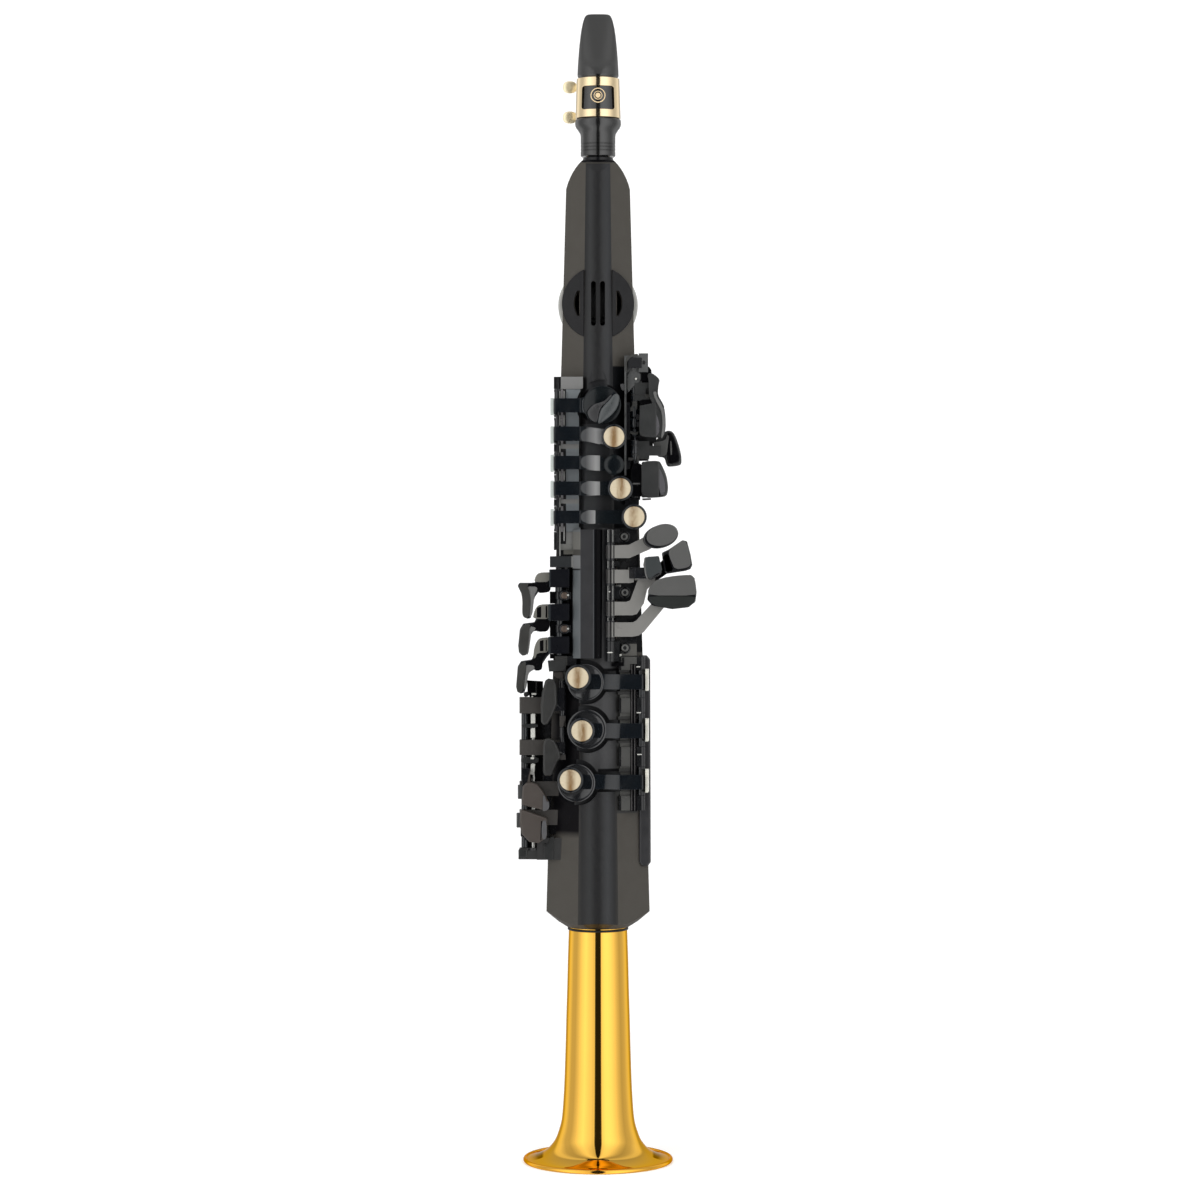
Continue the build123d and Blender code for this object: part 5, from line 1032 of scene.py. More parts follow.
# pale for bright steel bits, and for painted glints on the rods
BRIGHT = fitting("bright_steel_and_glints", 190, 190, 184, rough=0.3, spec=0.5, wear=0.0)
SATIN = fitting("satin_fitting", 120, 120, 118, rough=0.3, spec=0.5, wear=0.0)
DARK_45 = fitting("fitting_dark_45", 42, 42, 42)
DARK_38 = fitting("fitting_dark_38", 34, 35, 35, rough=0.4)
DARK_30 = fitting("fitting_dark_30", 34, 35, 35, rough=0.32)
LOW_RIM = fitting("little_finger_rim", 72, 72, 74, rough=0.4)
BROWN_60 = fitting("fitting_brown_60", 62, 61, 56, rough=0.42)
BROWN_45 = fitting("fitting_brown_45", 40, 35, 32, rough=0.42)
LENS = fitting("palm_lens_highlight", 74, 73, 76, rough=0.30, spec=0.5)
LINE = fitting("painted_rod_highlight", 112, 112, 110, rough=0.3, spec=0.5, wear=0.0)
DIM_LINE = fitting("dim_line", 70, 68, 68, rough=0.3, spec=0.5, wear=0.0)
SLEEVE = fitting("table_sleeve_grey", 64, 63, 62, rough=0.34, spec=0.35)
# painted highlight on the right side of the table key sleeves
SLEEVE.box(srgb(108, 107, 104), x=(7.9, 12), soft=0.25)


# ------------------------------------------------------------------ plates
def plates(body, rows):
    """Thin plates on one body.

    A row is name, finish, front y, back y, edge rounding, rounds of corner cutting and the
    (x, z) outline.
    """
    slot = "rail_grey" if body == "body" else "key_black"
    for name, finish, front, back, edge, rounds, outline in rows:
        slab(name, outline, front, back, finish, body, rounds=rounds, bevel=edge,
             segments=4, slot=slot)


def rect(x0, x1, z0, z1):
    return [(x0, z1), (x1, z1), (x1, z0), (x0, z0)]


def series(prefix, finish, front, back, edge, outlines):
    """Numbered rows of plates that share a finish and depth, with uncut corners."""
    return [(f"{prefix}{i}", finish, front, back, edge, 0, outline)
            for i, outline in enumerate(outlines)]


# table key touches
plates("g_sharp_key", [
    ("g_sharp_face", TOUCH, -31.75, -30.4, 0.45, 0, [
        (47.68, 384.81), (47.85, 383.56), (47.65, 382.27), (47.1, 380.97), (46.22, 379.72),
        (45.04, 378.56), (43.61, 377.53), (41.98, 376.69), (40.22, 376.06), (38.39, 375.66),
        (36.56, 375.51), (34.8, 375.62), (33.19, 375.98), (31.78, 376.57), (30.62, 377.39),
        (29.77, 378.38), (29.25, 379.52), (29.09, 380.76), (29.28, 382.06), (29.83, 383.36),
        (30.71, 384.61), (31.89, 385.77), (33.32, 386.79), (34.95, 387.64), (36.72, 388.27),
        (38.55, 388.67), (40.38, 388.82), (42.13, 388.71), (43.75, 388.35), (45.16, 387.75),
        (46.31, 386.94), (47.17, 385.95)])])
plates("low_c_sharp_key", [
    ("low_c_sharp_face", C_SHARP, -31.75, -30.4, 0.4, 1, [
        (28.52, 369.04), (35.95, 369.4), (37.27, 366.52), (38.83, 360.17), (34.75, 358.62),
        (30.92, 355.38), (29.12, 358.74), (28.16, 364.73)]),
    # painted highlight along the left edge of the touch
    ("low_c_sharp_edge", EDGE, -31.3, -30.4, 0.2, 1, [
        (27.69, 368.44), (28.77, 368.68), (28.53, 364.72), (28.89, 359.33), (30.09, 355.37),
        (29.01, 355.97), (27.81, 359.93)])])
plates("low_b_key", [
    ("low_b_face", TOUCH, -31.75, -30.4, 0.4, 1, [
        (42.18, 371.14), (43.38, 374.19), (49.37, 378.15), (52.07, 378.81), (53.81, 375.39),
        (55.79, 365.81), (54.71, 362.69), (46.2, 361.25), (43.62, 367.12)])])
plates("low_b_flat_key", [
    ("low_b_flat_face", TOUCH, -32.3, -31.0, 0.35, 1, [
        (29.95, 349.52), (33.91, 354.67), (39.54, 356.59), (46.13, 357.66), (52.72, 358.2),
        (56.31, 358.14), (58.11, 355.51), (59.07, 349.16), (59.07, 345.8), (30.07, 345.8)]),
    # lower facet painted darker than the face above: painted shade
    ("low_b_flat_shaded_heel", HEEL, -31.95, -30.6, 0.7, 1, [
        (30.08, 345.74), (59.08, 345.74), (58.12, 341.96), (54.28, 338.85),
        (47.93, 338.13), (39.54, 338.73), (33.85, 340.04), (30.92, 341.96)])])


def side_key(name, face, edge, arm, under, stripes=()):
    plates(name + "_key", [
        (name + "_face", SIDE_KEY, -19.4, -14.0, 0.9, 2, face),
        # the edge plate is a painted highlight along the side of the touch
        (name + "_edge", EDGE, -18.9, -13.0, 0.5, 1, edge),
        (name + "_arm", SIDE_ARM, -18.9, -13.4, 0.7, 1, arm),
        (name + "_under", BLACK, -18.5, -12.4, 0.6, 1, under),
        *series(name + "_stripe_", BLACK, -19.1, -18.0, 0.2, stripes)])


side_key(
    "side_e",
    face=[(-47.8, 352.91), (-41.59, 353.39), (-42.68, 351.34), (-41.47, 347.73),
          (-40.87, 342.91), (-41.11, 336.88), (-41.71, 332.66), (-43.4, 331.81),
          (-45.21, 332.78), (-45.81, 335.67), (-45.57, 342.91), (-46.53, 348.33)],
    edge=[(-43.11, 351.1), (-36.78, 350.97), (-36.54, 348.92), (-38.1, 346.21),
          (-38.95, 341.09), (-39.43, 335.66), (-40.15, 333.25), (-41.6, 332.28),
          (-41.12, 336.87), (-40.88, 342.9), (-41.48, 347.72)],
    arm=[(-38.59, 353.51), (-37.86, 356.76), (-36.48, 358.81), (-33.76, 359.54),
         (-28.64, 359.42), (-28.64, 353.75)],
    under=[(-42.82, 353.14), (-28.64, 353.98), (-28.64, 348.07), (-31.96, 347.23),
           (-35.58, 346.99), (-37.39, 349.22), (-41.61, 350.73)])
side_key(
    "side_c",
    face=[(-46.78, 324.22), (-45.63, 326.93), (-43.4, 328.44), (-40.75, 328.32),
          (-41.23, 326.03), (-41.83, 318.79), (-42.44, 312.77), (-42.92, 309.93),
          (-44.61, 309.27), (-46.66, 310.36), (-47.62, 312.16), (-47.38, 318.79)],
    edge=[(-41.36, 327.22), (-37.38, 326.25), (-38.23, 324.45), (-40.15, 323.48),
          (-40.88, 318.78), (-41.6, 312.75), (-42.45, 309.73), (-43.05, 309.92),
          (-41.84, 318.78)],
    arm=[(-39.43, 331.44), (-38.59, 335.66), (-37.08, 338.67), (-34.97, 340.12),
         (-28.64, 340.36), (-28.64, 331.2)],
    under=[(-41.85, 327.21), (-38.59, 329.02), (-36.79, 331.19), (-28.64, 331.43),
           (-29.25, 326.0), (-30.76, 323.83), (-36.18, 323.59), (-38.96, 325.4)],
    stripes=[[(-36.9, 338.08), (-34.24, 339.16), (-34.24, 332.29), (-36.9, 332.29)],
             rect(-31.59, -30.63, 332.17, 339.28)])
side_key(
    "side_b_flat",
    face=[(-48.04, 301.92), (-46.9, 304.09), (-45.21, 305.29), (-43.4, 305.53),
          (-43.64, 301.92), (-44.36, 295.89), (-45.09, 289.86), (-45.81, 287.21),
          (-47.38, 286.97), (-48.83, 288.17), (-49.19, 290.46), (-48.7, 295.89)],
    edge=[(-43.65, 303.83), (-38.35, 303.46), (-38.23, 301.05), (-40.76, 299.73),
          (-42.08, 298.04), (-42.69, 294.66), (-43.41, 289.24), (-45.1, 288.51),
          (-44.38, 295.87), (-43.65, 300.69)],
    arm=[(-39.19, 307.32), (-38.59, 313.95), (-37.02, 317.93), (-34.97, 319.86),
         (-29.24, 320.35), (-29.24, 311.3), (-36.78, 310.82), (-37.62, 307.93)],
    under=[(-45.23, 305.5), (-40.04, 306.46), (-37.51, 309.12), (-36.79, 311.17),
           (-30.39, 311.17), (-33.41, 305.86), (-33.77, 301.16), (-35.22, 300.31),
           (-38.23, 300.19), (-39.8, 303.57)],
    stripes=[[(-35.09, 318.18), (-32.92, 318.78), (-32.92, 312.03), (-35.09, 312.03)],
             rect(-31.59, -30.99, 312.03, 318.78)])

# palm keys
plates("palm_d_key", [
    # painted highlight strip down the right edge of the touch
    ("palm_d_strip", EDGE, -20.6, -15.0, 0.6, 2, [
        (32.83, 468.24), (35.3, 468.48), (35.18, 465.58), (37.71, 461.85), (39.52, 457.63),
        (40.36, 451.97), (40.24, 445.34), (38.92, 440.76), (37.83, 440.28), (38.8, 446.55),
        (38.8, 453.17), (37.71, 457.99), (35.42, 461.61)])])
plates("palm_e_flat_key", [
    ("palm_e_flat_arm", BLACK, -17.6, -13.0, 0.4, 1, [
        (19.67, 425.28), (26.55, 425.28), (26.3, 421.3), (27.15, 415.27), (27.87, 405.25),
        (19.67, 405.25)]),
    # painted highlights: a light dash and a small glint
    ("palm_e_flat_dash", EDGE, -17.9, -17.3, 0.1, 0, rect(20.87, 25.46, 412.55, 413.45)),
    ("palm_e_flat_tab", EDGE, -14.6, -12.8, 0.2, 0, [
        (26.58, 404.19), (32.02, 404.31), (32.02, 403.23), (26.95, 402.98)])])
plates("palm_f_key", [
    ("palm_f_lever", PALM_LEVER, -11.4, -4.0, 0.9, 2, [
        (33.16, 438.11), (36.91, 438.59), (40.78, 439.44), (41.75, 442.83), (42.96, 441.98),
        (42.24, 436.53), (41.51, 430.24), (37.03, 429.64), (35.22, 432.3),
        (33.89, 435.93)]),
    ("palm_f_core", BLACK, -9.4, -3.0, 0.9, 2, [
        (41.55, 443.61), (44.46, 444.34), (46.39, 440.46), (48.7, 433.55), (49.67, 428.47),
        (49.06, 426.04), (43.0, 424.71), (41.79, 428.1)]),
    # painted highlight streak on the F touch
    ("palm_f_highlight_streak", PALM_LEVER, -9.8, -8.6, 0.5, 1, [
        (43.48, 438.99), (44.57, 438.99), (44.93, 430.52), (43.72, 430.52)])])
plates("body", [
    # links and lugs behind the palm keys
    ("palm_link", PALM_GREY, -15.4, -9.0, 0.4, 1, [
        (28.39, 471.22), (31.77, 471.22), (32.01, 464.46), (28.39, 464.46)]),
    ("palm_slit", BLACK, -15.2, -9.0, 0.3, 1, [
        (25.13, 463.86), (32.98, 463.86), (34.55, 461.08), (25.37, 460.36)]),
    ("palm_angle", PALM_GREY, -14.6, -12.6, 0.3, 1, [
        (20.9, 463.4), (23.68, 463.4), (23.68, 456.63), (17.76, 456.63), (17.76, 457.96),
        (20.54, 459.65)]),
    ("palm_lug_a", PALM_DARK, -14.4, -12.8, 0.3, 1, [
        (22.96, 454.83), (25.02, 455.19), (25.02, 451.57), (22.96, 451.32)]),
    ("palm_lug_b", PALM_DARK, -14.4, -12.8, 0.3, 1, [
        (22.6, 450.6), (25.02, 450.6), (25.02, 447.34), (22.6, 447.09)]),
    ("palm_dash", PALM_GREY, -15.0, -13.6, 0.2, 0, [
        (17.88, 444.54), (19.93, 444.78), (21.75, 444.06), (24.52, 444.54), (23.8, 442.73),
        (21.14, 442.61), (19.33, 443.45)]),
    ("palm_lug_c", PALM_GREY, -15.0, -13.6, 0.2, 0, [
        (18.12, 428.83), (20.9, 428.71), (20.78, 427.02), (18.12, 427.14)]),
    ("palm_lug_d", PALM_GREY, -14.8, -13.4, 0.2, 0, [
        (23.32, 429.8), (24.77, 430.05), (24.77, 425.58), (23.32, 425.58)]),
    ("chassis_ear", EAR, -17.2, -13.0, 0.3, 1, [
        (13.15, 472.96), (15.81, 473.44), (15.81, 468.97), (14.24, 469.34)]),
    ("chassis_corner", PALM_GREY, -17.9, -15.0, 0.2, 1, [
        (16.17, 480.41), (16.17, 486.44), (17.25, 489.09), (19.3, 490.54), (24.13, 491.39),
        (24.13, 490.18), (20.15, 489.46), (17.98, 487.41), (17.25, 485.23),
        (17.25, 480.41)]),
    # spring boxes and gaps of the lower right rail
    *series("rr_springbox_", SPRING_BOX, -18.6, -16.8, 0.2, [
        rect(12.66, 20.5, 299.11, 302.49),
        [(11.94, 287.77), (20.74, 287.77), (20.74, 285.96), (11.94, 285.72)],
        [(12.18, 272.58), (20.14, 272.82), (20.14, 270.77), (12.18, 270.53)],
        [(12.42, 257.99), (20.74, 258.11), (20.74, 256.66), (12.42, 256.42)],
        [(12.66, 241.1), (20.5, 241.34), (20.5, 239.17), (12.66, 238.81)]]),
    ("rr_gap_0", BLACK, -20.0, -18.0, 0.1, 0, [
        (8.44, 304.71), (14.7, 305.32), (14.7, 307.97), (15.67, 308.33), (15.67, 303.15),
        (8.44, 302.9)]),
    ("rr_gap_1", BLACK, -19.2, -17.0, 0.1, 0, [
        (18.93, 299.14), (18.93, 302.27), (21.1, 302.27), (21.1, 299.14)]),
    ("rr_gap_2", BLACK, -19.4, -17.0, 0.1, 0, [
        (20.01, 287.93), (21.94, 287.93), (21.94, 281.66), (20.62, 281.66),
        (20.01, 283.83)]),
    ("rr_gap_3", BLACK, -19.4, -17.0, 0.1, 0, rect(20.13, 21.94, 269.37, 275.03)),
    ("rr_gap_4", BLACK, -19.4, -17.0, 0.1, 0, rect(20.74, 22.54, 252.73, 257.91)),
    ("rr_gap_5", BLACK, -19.4, -17.0, 0.1, 0, rect(20.74, 22.54, 239.23, 249.47)),
    # around the table rod
    ("hex_well_black", BLACK, -18.6, -17.2, 0.1, 1, [
        (11.46, 316.96), (14.23, 316.96), (14.83, 313.94), (13.63, 310.81),
        (11.46, 310.33)]),
    ("table_dash", BRIGHT, -20.4, -19.6, 0.1, 0, [
        (11.21, 309.91), (14.22, 310.39), (14.22, 309.19), (11.21, 308.7)]),
    ("table_dash_b", BRIGHT, -19.0, -18.4, 0.15, 1, [
        (22.07, 356.52), (24.0, 357.01), (25.32, 356.28), (23.51, 354.96),
        (22.07, 354.71)]),
    ("table_dash_c", SATIN, -20.4, -19.6, 0.1, 0, [
        (10.6, 351.72), (13.86, 352.2), (13.86, 350.88), (10.6, 350.64)]),
    # behind the little-finger rods
    ("lf_backing", BLACK, -6.6, -4.6, 0.3, 0, [
        (-46.46, 282.6), (-33.36, 282.6), (-33.36, 256.52), (-31.54, 248.03),
        (-34.57, 232.87), (-46.46, 232.87)]),
    ("lf_backing_low", BLACK, -6.2, -4.4, 0.3, 0, rect(-46.1, -29.42, 190.99, 232.84)),
    ("lf_block_stripe", DARK_45, -5.8, -5.3, 0.15, 0, rect(-37.86, -37.01, 286.81, 292.64)),
    ("lf_ring_top", DARK_45, -5.9, -4.2, 0.6, 1, [
        (-45.26, 286.45), (-42.23, 287.18), (-41.86, 284.15), (-44.9, 283.66)]),
    ("lf_glint_a", BRIGHT, -12.2, -11.6, 0.1, 0, [
        (-40.28, 286.39), (-37.38, 286.39), (-37.38, 285.3), (-40.16, 285.3)]),
    ("lf_glint_b", BRIGHT, -12.2, -11.6, 0.1, 0, rect(-40.28, -39.32, 283.97, 284.69))])

# little-finger touches and the plates near them
plates("low_e_flat_key", [
    ("low_e_flat_rim", LOW_RIM, -20.2, -17.4, 0.4, 1, [
        (-33.17, 225.91), (-31.72, 224.1), (-31.24, 221.08), (-29.43, 221.32),
        (-29.43, 217.1), (-31.12, 215.77), (-32.92, 215.41), (-33.41, 215.65)])])
plates("low_c_key", [
    ("low_c_rim", LOW_RIM, -20.2, -17.4, 0.5, 1, [
        (-33.64, 209.65), (-30.99, 210.01), (-30.87, 199.04), (-33.52, 197.83),
        (-34.13, 203.62)]),
    # painted shade along the crease
    ("low_c_crease", BLACK, -19.75, -19.2, 0.1, 0, [
        (-34.41, 209.36), (-33.75, 209.48), (-34.11, 203.69), (-34.23, 197.91),
        (-34.83, 197.67)])])
plates("body", [
    ("foot_round", DARK_30, -13.0, -9.0, 1.4, 1, [
        (-48.25, 192.58), (-42.81, 193.07), (-42.81, 186.9), (-45.95, 186.66),
        (-48.25, 187.14)]),
    ("foot_plate", DARK_30, -14.2, -11.0, 0.3, 0, [
        (-29.13, 198.98), (-26.83, 199.83), (-26.95, 186.05), (-32.63, 186.05),
        (-32.75, 195.35), (-29.37, 195.72)]),
    ("foot_top", BLACK, -11.6, -8.4, 0.5, 1, [
        (-29.65, 208.43), (-22.99, 209.4), (-21.18, 201.53), (-26.98, 200.56),
        (-29.4, 200.56)]),
    ("side_top_tab", BROWN_60, -20.2, -17.8, 0.15, 0, [
        (-20.73, 372.93), (-9.04, 373.17), (-9.04, 370.52), (-20.73, 370.4)]),
    ("side_foot_plate", DARK_38, -20.4, -18.0, 0.3, 0, [
        (-30.37, 306.41), (-19.28, 307.14), (-19.28, 300.27), (-29.52, 299.67)]),
    ("side_foot_brown", BROWN_45, -19.4, -17.6, 0.3, 0, [
        (-27.37, 299.14), (-21.34, 299.75), (-20.74, 295.53), (-25.08, 295.53)]),
    ("palm_collar_block", BLACK, -15.0, -9.0, 0.5, 1, [
        (25.73, 483.56), (30.44, 484.16), (32.62, 481.14), (32.26, 471.48),
        (25.97, 471.48)]),
    ("palm_gap_block", BLACK, -6.8, -4.2, 0.4, 1, [
        (30.93, 466.6), (34.93, 466.12), (36.02, 461.03), (31.53, 460.54)])])

# painted highlight (the grey lens) on the curved side of two palm touches, and painted shade
# in the crease beside it
plates("palm_d_key", [
    ("palm_d_lens", LENS, -20.0, -17.4, 0.9, 2, [
        (33.63, 457.65), (35.19, 454.64), (36.64, 450.78), (37.12, 446.57), (36.52, 443.19),
        (34.71, 441.14), (33.5, 445.36), (33.02, 450.78)]),
    ("palm_d_crease", BLACK, -20.2, -17.4, 0.1, 0, [
        (33.5, 458.97), (34.1, 458.37), (33.62, 455.0), (33.5, 450.18), (33.98, 444.75),
        (35.07, 440.53), (34.22, 440.53), (33.02, 444.75), (32.48, 450.42),
        (32.78, 455.6)])])
plates("palm_e_flat_key", [
    ("palm_e_flat_lens", LENS, -20.0, -17.4, 0.9, 2, [
        (36.64, 422.7), (38.81, 418.85), (40.25, 414.03), (40.62, 409.45), (39.53, 406.43),
        (37.72, 405.95), (36.64, 411.61), (36.16, 417.64)]),
    ("palm_e_flat_crease", BLACK, -20.2, -17.4, 0.1, 0, [
        (36.03, 425.11), (36.63, 424.51), (36.15, 419.45), (36.39, 412.82), (37.48, 405.35),
        (36.63, 405.35), (35.49, 412.21), (35.19, 419.45)])])

# bright lines beside the upper stack rod, painted highlights of the rod and its slim tube: z
# ranges of the two columns
COLUMN_B = [(448.02, 454.17), (431.75, 435.96), (414.87, 420.42), (398.6, 404.63),
            (369.43, 387.15)]
COLUMN_C = [(464.05, 468.87), (448.02, 454.17), (414.87, 420.42), (378.47, 387.15)]
plates("body", [
    ("stack_line_a", LINE, -19.8, -19.0, 0.1, 0, rect(-23.26, -22.6, 464.05, 468.87)),
    *series("stack_line_b", LINE, -19.8, -19.0, 0.1,
            [rect(-23.38, -22.54, *z_range) for z_range in COLUMN_B]),
    *series("stack_line_c", LINE, -19.8, -19.0, 0.1,
            [rect(-20.85, -20.01, *z_range) for z_range in COLUMN_C]),
    ("table_wire", BLACK, -25.7, -25.35, 0.1, 0, rect(7.39, 8.11, 318.15, 385.34)),
    ("rr_comb", BLACK, -19.75, -18.7, 0.1, 0, rect(19.53, 23.5, 215.39, 304.34)),
    *series("rr_comb_line_", DIM_LINE, -20.0, -19.7, 0.05, [
        rect(20.13, 20.61, 215.77, 303.99), rect(21.93, 22.42, 215.77, 303.99)]),
    ("lf_collar_a", DARK_30, -12.0, -10.4, 0.5, 1, [
        (-46.46, 267.62), (-36.3, 267.87), (-36.3, 265.33), (-46.46, 265.33)]),
    ("lf_collar_b", DARK_30, -12.0, -10.4, 0.5, 1, [
        (-46.7, 247.42), (-35.81, 247.78), (-35.81, 243.79), (-46.7, 243.67)]),
    ("lf_glint_c", BRIGHT, -12.4, -11.9, 0.1, 0, rect(-40.76, -38.71, 246.36, 247.45))])
plates("low_b_key", [
    ("low_b_gap_block", BLACK, -31.2, -27.4, 0.4, 1, [
        (38.36, 369.76), (42.31, 371.55), (43.75, 365.92), (45.67, 360.53), (40.4, 359.21),
        (39.2, 364.12)])])
for name, outline in (
        ("side_e", [(-29.36, 361.39), (-17.33, 361.63), (-17.33, 350.56), (-29.36, 350.56)]),
        ("side_c", [(-30.08, 340.46), (-17.33, 340.7), (-17.33, 330.59), (-29.96, 330.59)]),
        ("side_b_flat", [(-30.08, 320.72), (-17.33, 320.96), (-17.33, 310.61),
                         (-29.96, 310.61)])):
    plates(name + "_key", [(name + "_barrel", BARREL, -23.2, -19.0, 0.5, 0, outline)])
plates("body", [
    ("lf_segment_a", BRIGHT, -12.2, -10.8, 0.15, 0, [
        (-40.65, 273.56), (-37.99, 273.8), (-37.99, 268.12), (-40.65, 268.0)]),
    ("lf_segment_b", BRIGHT, -12.2, -10.8, 0.15, 0, [
        (-40.77, 264.97), (-38.11, 265.09), (-38.11, 259.41), (-40.77, 259.29)]),
    ("lf_segment_c", BRIGHT, -11.6, -10.6, 0.15, 0, [
        (-40.66, 243.28), (-38.12, 243.4), (-38.6, 236.99), (-41.02, 236.99)]),
    ("lf_block_top", BLACK, -5.4, -3.4, 0.3, 0, [
        (-43.09, 293.83), (-33.38, 293.23), (-33.38, 283.15), (-41.26, 283.15),
        (-42.84, 286.79)]),
    *series("side_rail_gap_", BLACK, -15.6, -12.6, 0.2, [
        rect(-29.11, -24.4, *z_range)
        for z_range in ((340.65, 347.9), (320.85, 330.15), (307.44, 310.22))])])

# ------------------------------------------------------------------ small turned parts
# thin second tubes beside the long rods: x, y, radius, z range
TUBE = fitting("slim_tube", 92, 90, 92, rough=0.3, spec=0.5, wear=0.1)
SLIM_TUBES = [
    (-21.7, -19.0, 0.75, 384.0, 399.4), (-21.7, -19.0, 0.75, 403.8, 432.0),
    (-21.7, -19.0, 0.75, 437.0, 469.8), (22.6, -18.4, 1.0, 300.6, 303.6),
    (22.6, -18.4, 1.0, 284.0, 287.6), (22.6, -18.4, 1.0, 270.6, 274.8),
    (22.6, -18.4, 1.0, 254.2, 258.4), (22.6, -18.4, 1.0, 241.4, 250.0)]
for i, (x, y, radius, z0, z1) in enumerate(SLIM_TUBES):
    lathe(f"slim_tube_{i}", [(0.001, z0), (radius - 0.1, z0), (radius, z0 + 0.15),
                             (radius, z1 - 0.15), (radius - 0.1, z1), (0.001, z1)],
          TUBE, centre=(x, y, 0), segs=28, slot="rail_grey")
# painted glints: bright bars across the rods: x, front y, z, width
for i, (x, y, z, width) in enumerate((
        (24.3, -20.2, 302.6, 2.4), (24.6, -20.2, 274.9, 2.6), (25.0, -20.2, 249.7, 2.8),
        (7.2, -25.2, 311.4, 3.0), (7.2, -25.2, 348.0, 1.6))):
    boxes(f"rod_glint_{i}",
          [(x - width / 2, x + width / 2, y, y + 0.5, z - 0.35, z + 0.35)],
          BRIGHT, slot="steel")
for key, z0, z1 in (("g_sharp_key", 367.8, 376.1), ("low_c_sharp_key", 352.9, 361.4),
                    ("low_b_key", 333.3, 341.9), ("low_b_flat_key", 320.5, 329.8)):
    sleeve(key + "_sleeve", 2.5, 2.66, z0, z1, SLEEVE, key, TABLE_ROD, segs=48)
# painted highlights down both sides of the table rod tubes
for i, (z0, z1) in enumerate(((377.6, 385.2), (362.2, 366.6), (343.0, 351.6),
                              (330.5, 332.3))):
    boxes(f"table_tube_line_{i}", [(8.6, 9.2, -25.3, -24.4, z0, z1),
                                   (5.7, 6.3, -25.2, -24.3, z0, z1)],
          LINE, slot="rail_grey")
# a second, bright pin in front of the first
lathe("palm_bracket_pin", [(0.001, -18.6), (0.5, -18.5), (0.62, -18.2), (0.62, -16.0)],
      BRIGHT, axis="Y", centre=(22.9, 0, 476.2), segs=32, slot="steel")
# steel ball beside each brass pivot
for i, z in enumerate((345.9, 325.6)):
    lathe(f"side_ball_{i}", [(0.001, -21.3), (0.5, -21.2), (0.85, -20.9), (0.95, -20.5),
                             (0.9, -20.0)],
          STEEL, axis="Y", centre=(-18.1, 0, z), segs=32, slot="steel")

# ------------------------------------------------------------------ display, thumb side
DISPLAY_Z = 588.0
DIGIT_W, DIGIT_H, STROKE = 1.3, 2.6, 0.42  # half width, half height, stroke thickness
boxes("display_window", [(-6.0, 6.0, 17.0, 17.25, 583.2, 592.8)], GLASS, bevel=0.1,
      slot="key_black")
LIT = Finish("display_segments", srgb(230, 90, 60), rough=0.4, vary=0.05, bump=0.0)
LIT.set(**{"Emission Color": srgb(255, 96, 60), "Emission Strength": 0.6})


def digit(x, strokes):
    """Seven-segment digit read from behind, so its right side is towards -X."""
    left, right = x + DIGIT_W, x - DIGIT_W
    top, bottom = DISPLAY_Z + DIGIT_H, DISPLAY_Z - DIGIT_H
    spans = {
        "a": (right, left, top - STROKE, top),
        "g": (right, left, DISPLAY_Z - STROKE / 2, DISPLAY_Z + STROKE / 2),
        "d": (right, left, bottom, bottom + STROKE),
        "b": (right, right + STROKE, DISPLAY_Z + 0.2, top - 0.2),
        "c": (right, right + STROKE, bottom + 0.2, DISPLAY_Z - 0.2),
        "e": (left - STROKE, left, bottom + 0.2, DISPLAY_Z - 0.2)}
    return [(x0, x1, 17.22, 17.32, z0, z1) for x0, x1, z0, z1 in map(spans.get, strokes)]


boxes("display_digits", digit(2.4, "bc") + digit(-2.4, "abged"), LIT, bevel=0.0,
      slot="button_grey")


# ------------------------------------------------------------------ studio
def build_floor():
    """Floor that curves up into a back wall."""
    half_width, bend_start, bend_radius, drop = 6000, 1600, 1200, 0.02
    profile = [(-5000, 0), (0, 0), (bend_start, 0)]
    for i in range(13):
        angle = math.pi / 2 * i / 12
        profile.append((bend_start + bend_radius * math.sin(angle),
                        bend_radius - bend_radius * math.cos(angle)))
    profile.append((bend_start + bend_radius, 5000))
    verts = [(x, y, z - drop) for y, z in profile for x in (-half_width, half_width)]
    faces = [(2 * j, 2 * j + 1, 2 * j + 3, 2 * j + 2) for j in range(len(profile) - 1)]
    finish = Finish("studio_floor", (0.86, 0.86, 0.86, 1), rough=0.6, spec=0.2, vary=0.01,
                    bump=0.0)
    finish.set(**{"Emission Color": (1, 1, 1, 1), "Emission Strength": 0.22})
    floor = add_mesh("studio_sweep", verts, faces, finish, body=None, split=0)
    floor.visible_glossy = False
    floor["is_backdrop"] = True


build_floor()

# brightness of the room by direction: share of a full turn away from -Y, brightness
ROOM_LEFT = [
    (0.027, 0.02), (0.034, 0.95), (0.048, 0.92), (0.064, 1.06), (0.097, 1.22),
    (0.131, 1.42), (0.167, 1.22), (0.205, 0.88), (0.247, 0.60), (0.295, 0.62),
    (0.345, 0.98), (0.375, 0.95), (0.40, 0.55), (0.44, 0.6), (0.5, 0.7)]
ROOM_RIGHT = [
    (0.027, 0.02), (0.034, 1.18), (0.048, 1.25), (0.064, 1.45), (0.097, 1.48),
    (0.131, 1.36), (0.167, 1.10), (0.205, 0.78), (0.247, 0.54), (0.295, 0.64),
    (0.345, 0.92), (0.375, 0.9), (0.40, 0.5), (0.44, 0.6), (0.5, 0.7)]


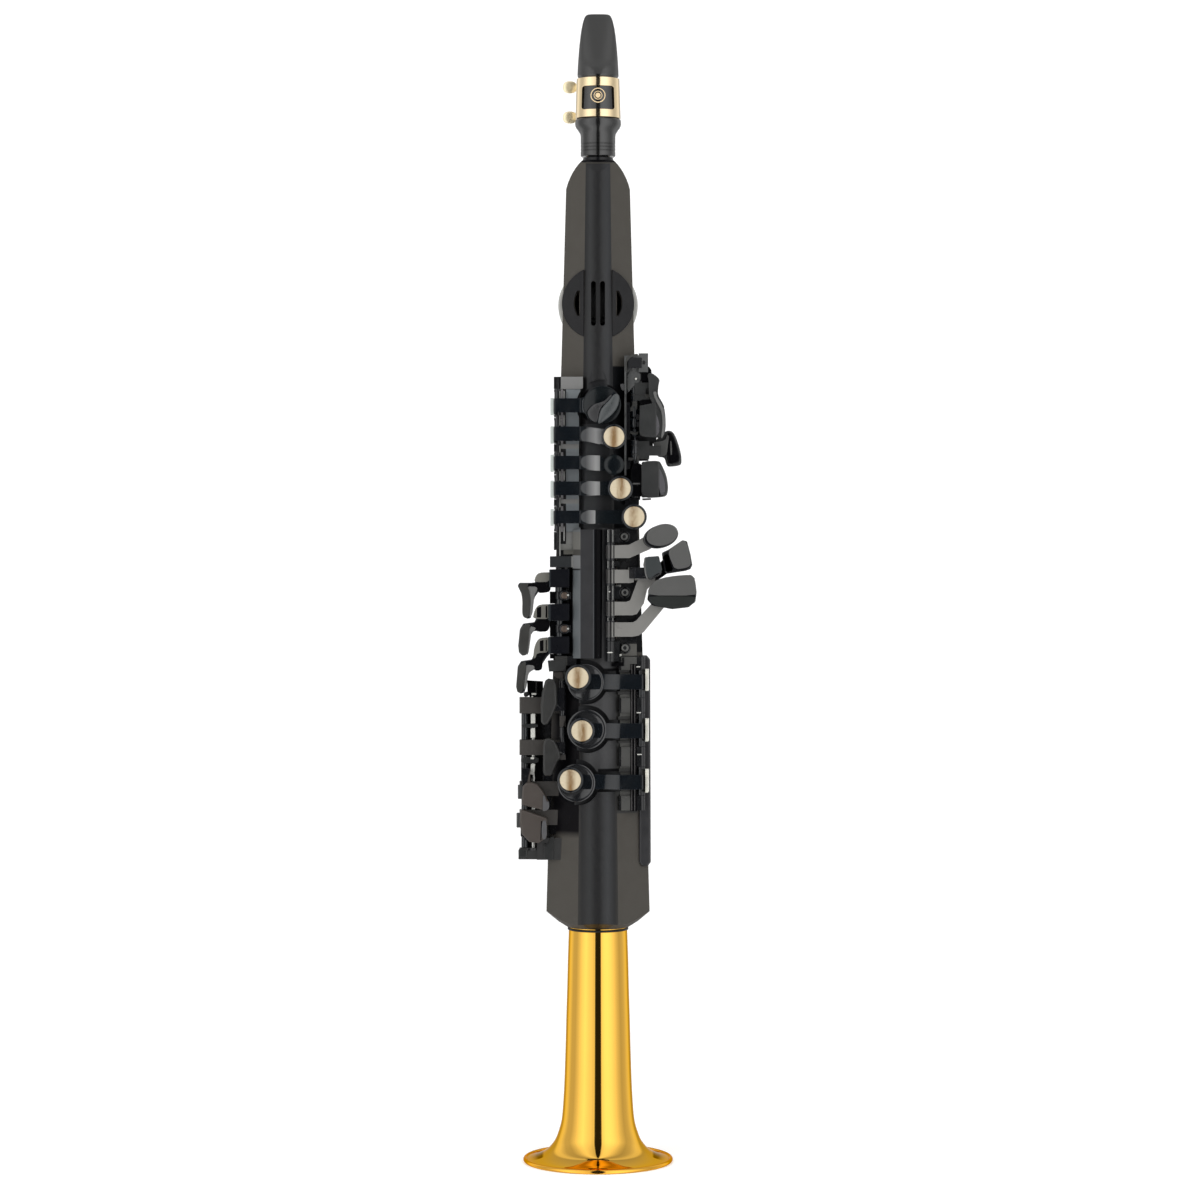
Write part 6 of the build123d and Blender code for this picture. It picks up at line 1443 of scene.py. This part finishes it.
def build_world():
    """Bright panels to both sides with a narrow dark gap behind the camera."""
    world = bpy.data.worlds.new("studio")
    scene.world = world
    world.use_nodes = True
    tree = world.node_tree
    room = tree.nodes["Background"]
    direction = add_node(tree, "TexCoord").outputs["Generated"]
    axes = add_node(tree, "SeparateXYZ", {0: direction}).outputs
    towards = add_node(tree, "Math", {0: axes["Y"], 1: -1}, operation="MULTIPLY")
    angle = add_node(tree, "Math", {0: axes["X"], 1: towards.outputs[0]},
                     operation="ARCTAN2")
    turn = add_node(tree, "Math", {0: angle.outputs[0], 1: 0.5 / math.pi, 2: 0.5},
                    operation="MULTIPLY_ADD")
    panels = add_node(tree, "ValToRGB", {0: turn.outputs[0]})
    panels.color_ramp.interpolation = "LINEAR"
    stops = panels.color_ramp.elements
    while len(stops) > 1:
        stops.remove(stops[-1])
    stops[0].position = 0.5
    stops[0].color = (0.02, 0.02, 0.02, 1)
    for side, table in ((-1, ROOM_LEFT), (1, ROOM_RIGHT)):
        for away, level in table:
            stops.new(0.5 + side * away).color = (level, level, level, 1)
    # the top of the room is dimmer
    height = add_node(tree, "MapRange", {"Value": axes["Z"], "From Min": 0.45,
                                         "From Max": 0.95, "To Min": 1.0, "To Max": 0.75})
    light = add_node(tree, "Math", {0: panels.outputs["Color"],
                                    1: height.outputs["Result"]}, operation="MULTIPLY")
    tree.links.new(light.outputs[0], room.inputs["Color"])
    room.inputs["Strength"].default_value = 1.0
    # seen directly, the room is plain white
    white = add_node(tree, "Background", {"Color": (1.0, 1.0, 1.0, 1)})
    ray = add_node(tree, "LightPath")
    pick = add_node(tree, "MixShader", {0: ray.outputs["Is Camera Ray"],
                                        1: room.outputs[0], 2: white.outputs[0]})
    tree.links.new(pick.outputs[0], tree.nodes["World Output"].inputs["Surface"])


build_world()


def place_aimed(name, data, location, target):
    """Add an object that points its -Z at a target."""
    ob = bpy.data.objects.new(name, data)
    scene.collection.objects.link(ob)
    ob.location = location
    ob.rotation_euler = (Vector(target) - Vector(location)).to_track_quat(
        "-Z", "Y").to_euler()
    return ob


def area_light(name, location, target, size, power, size_y=None):
    light = bpy.data.lights.new(name, "AREA")
    light.energy = power
    light.size = size
    if size_y:
        light.shape = "RECTANGLE"
        light.size_y = size_y
    place_aimed(name, light, location, target).visible_glossy = False


area_light("soft_left", (-1.5, -1.3, 0.9), (0, 0, 0.35), size=0.7, power=14, size_y=1.6)
area_light("soft_right", (1.5, -1.2, 0.8), (0, 0, 0.35), size=0.7, power=9, size_y=1.6)
area_light("soft_top", (0.0, -0.4, 2.2), (0, 0, 0.3), size=1.2, power=10)

CAMERA_DISTANCE = 2100
VIEW_HALF_WIDTH = 365.05  # seen at the camera distance
camera = bpy.data.cameras.new("camera")
camera.sensor_fit = "HORIZONTAL"
camera.angle = 2 * math.atan(VIEW_HALF_WIDTH / CAMERA_DISTANCE)
camera.clip_start = 0.01
scene.camera = place_aimed("camera", camera, (0.0012, -CAMERA_DISTANCE * MM, 0.3851),
                           (0.0012, 0, 0.3425))

# ------------------------------------------------------------------ sizes
visual_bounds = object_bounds()


def as_lists(bounds):
    # bounds may hold corner vectors or bare numbers; bare numbers raise TypeError
    try:
        return [[float(v) for v in corner] for corner in bounds]
    except TypeError:
        return [float(v) for v in bounds]


{"cad": as_lists(cad_bounds), "visual": as_lists(visual_bounds)}
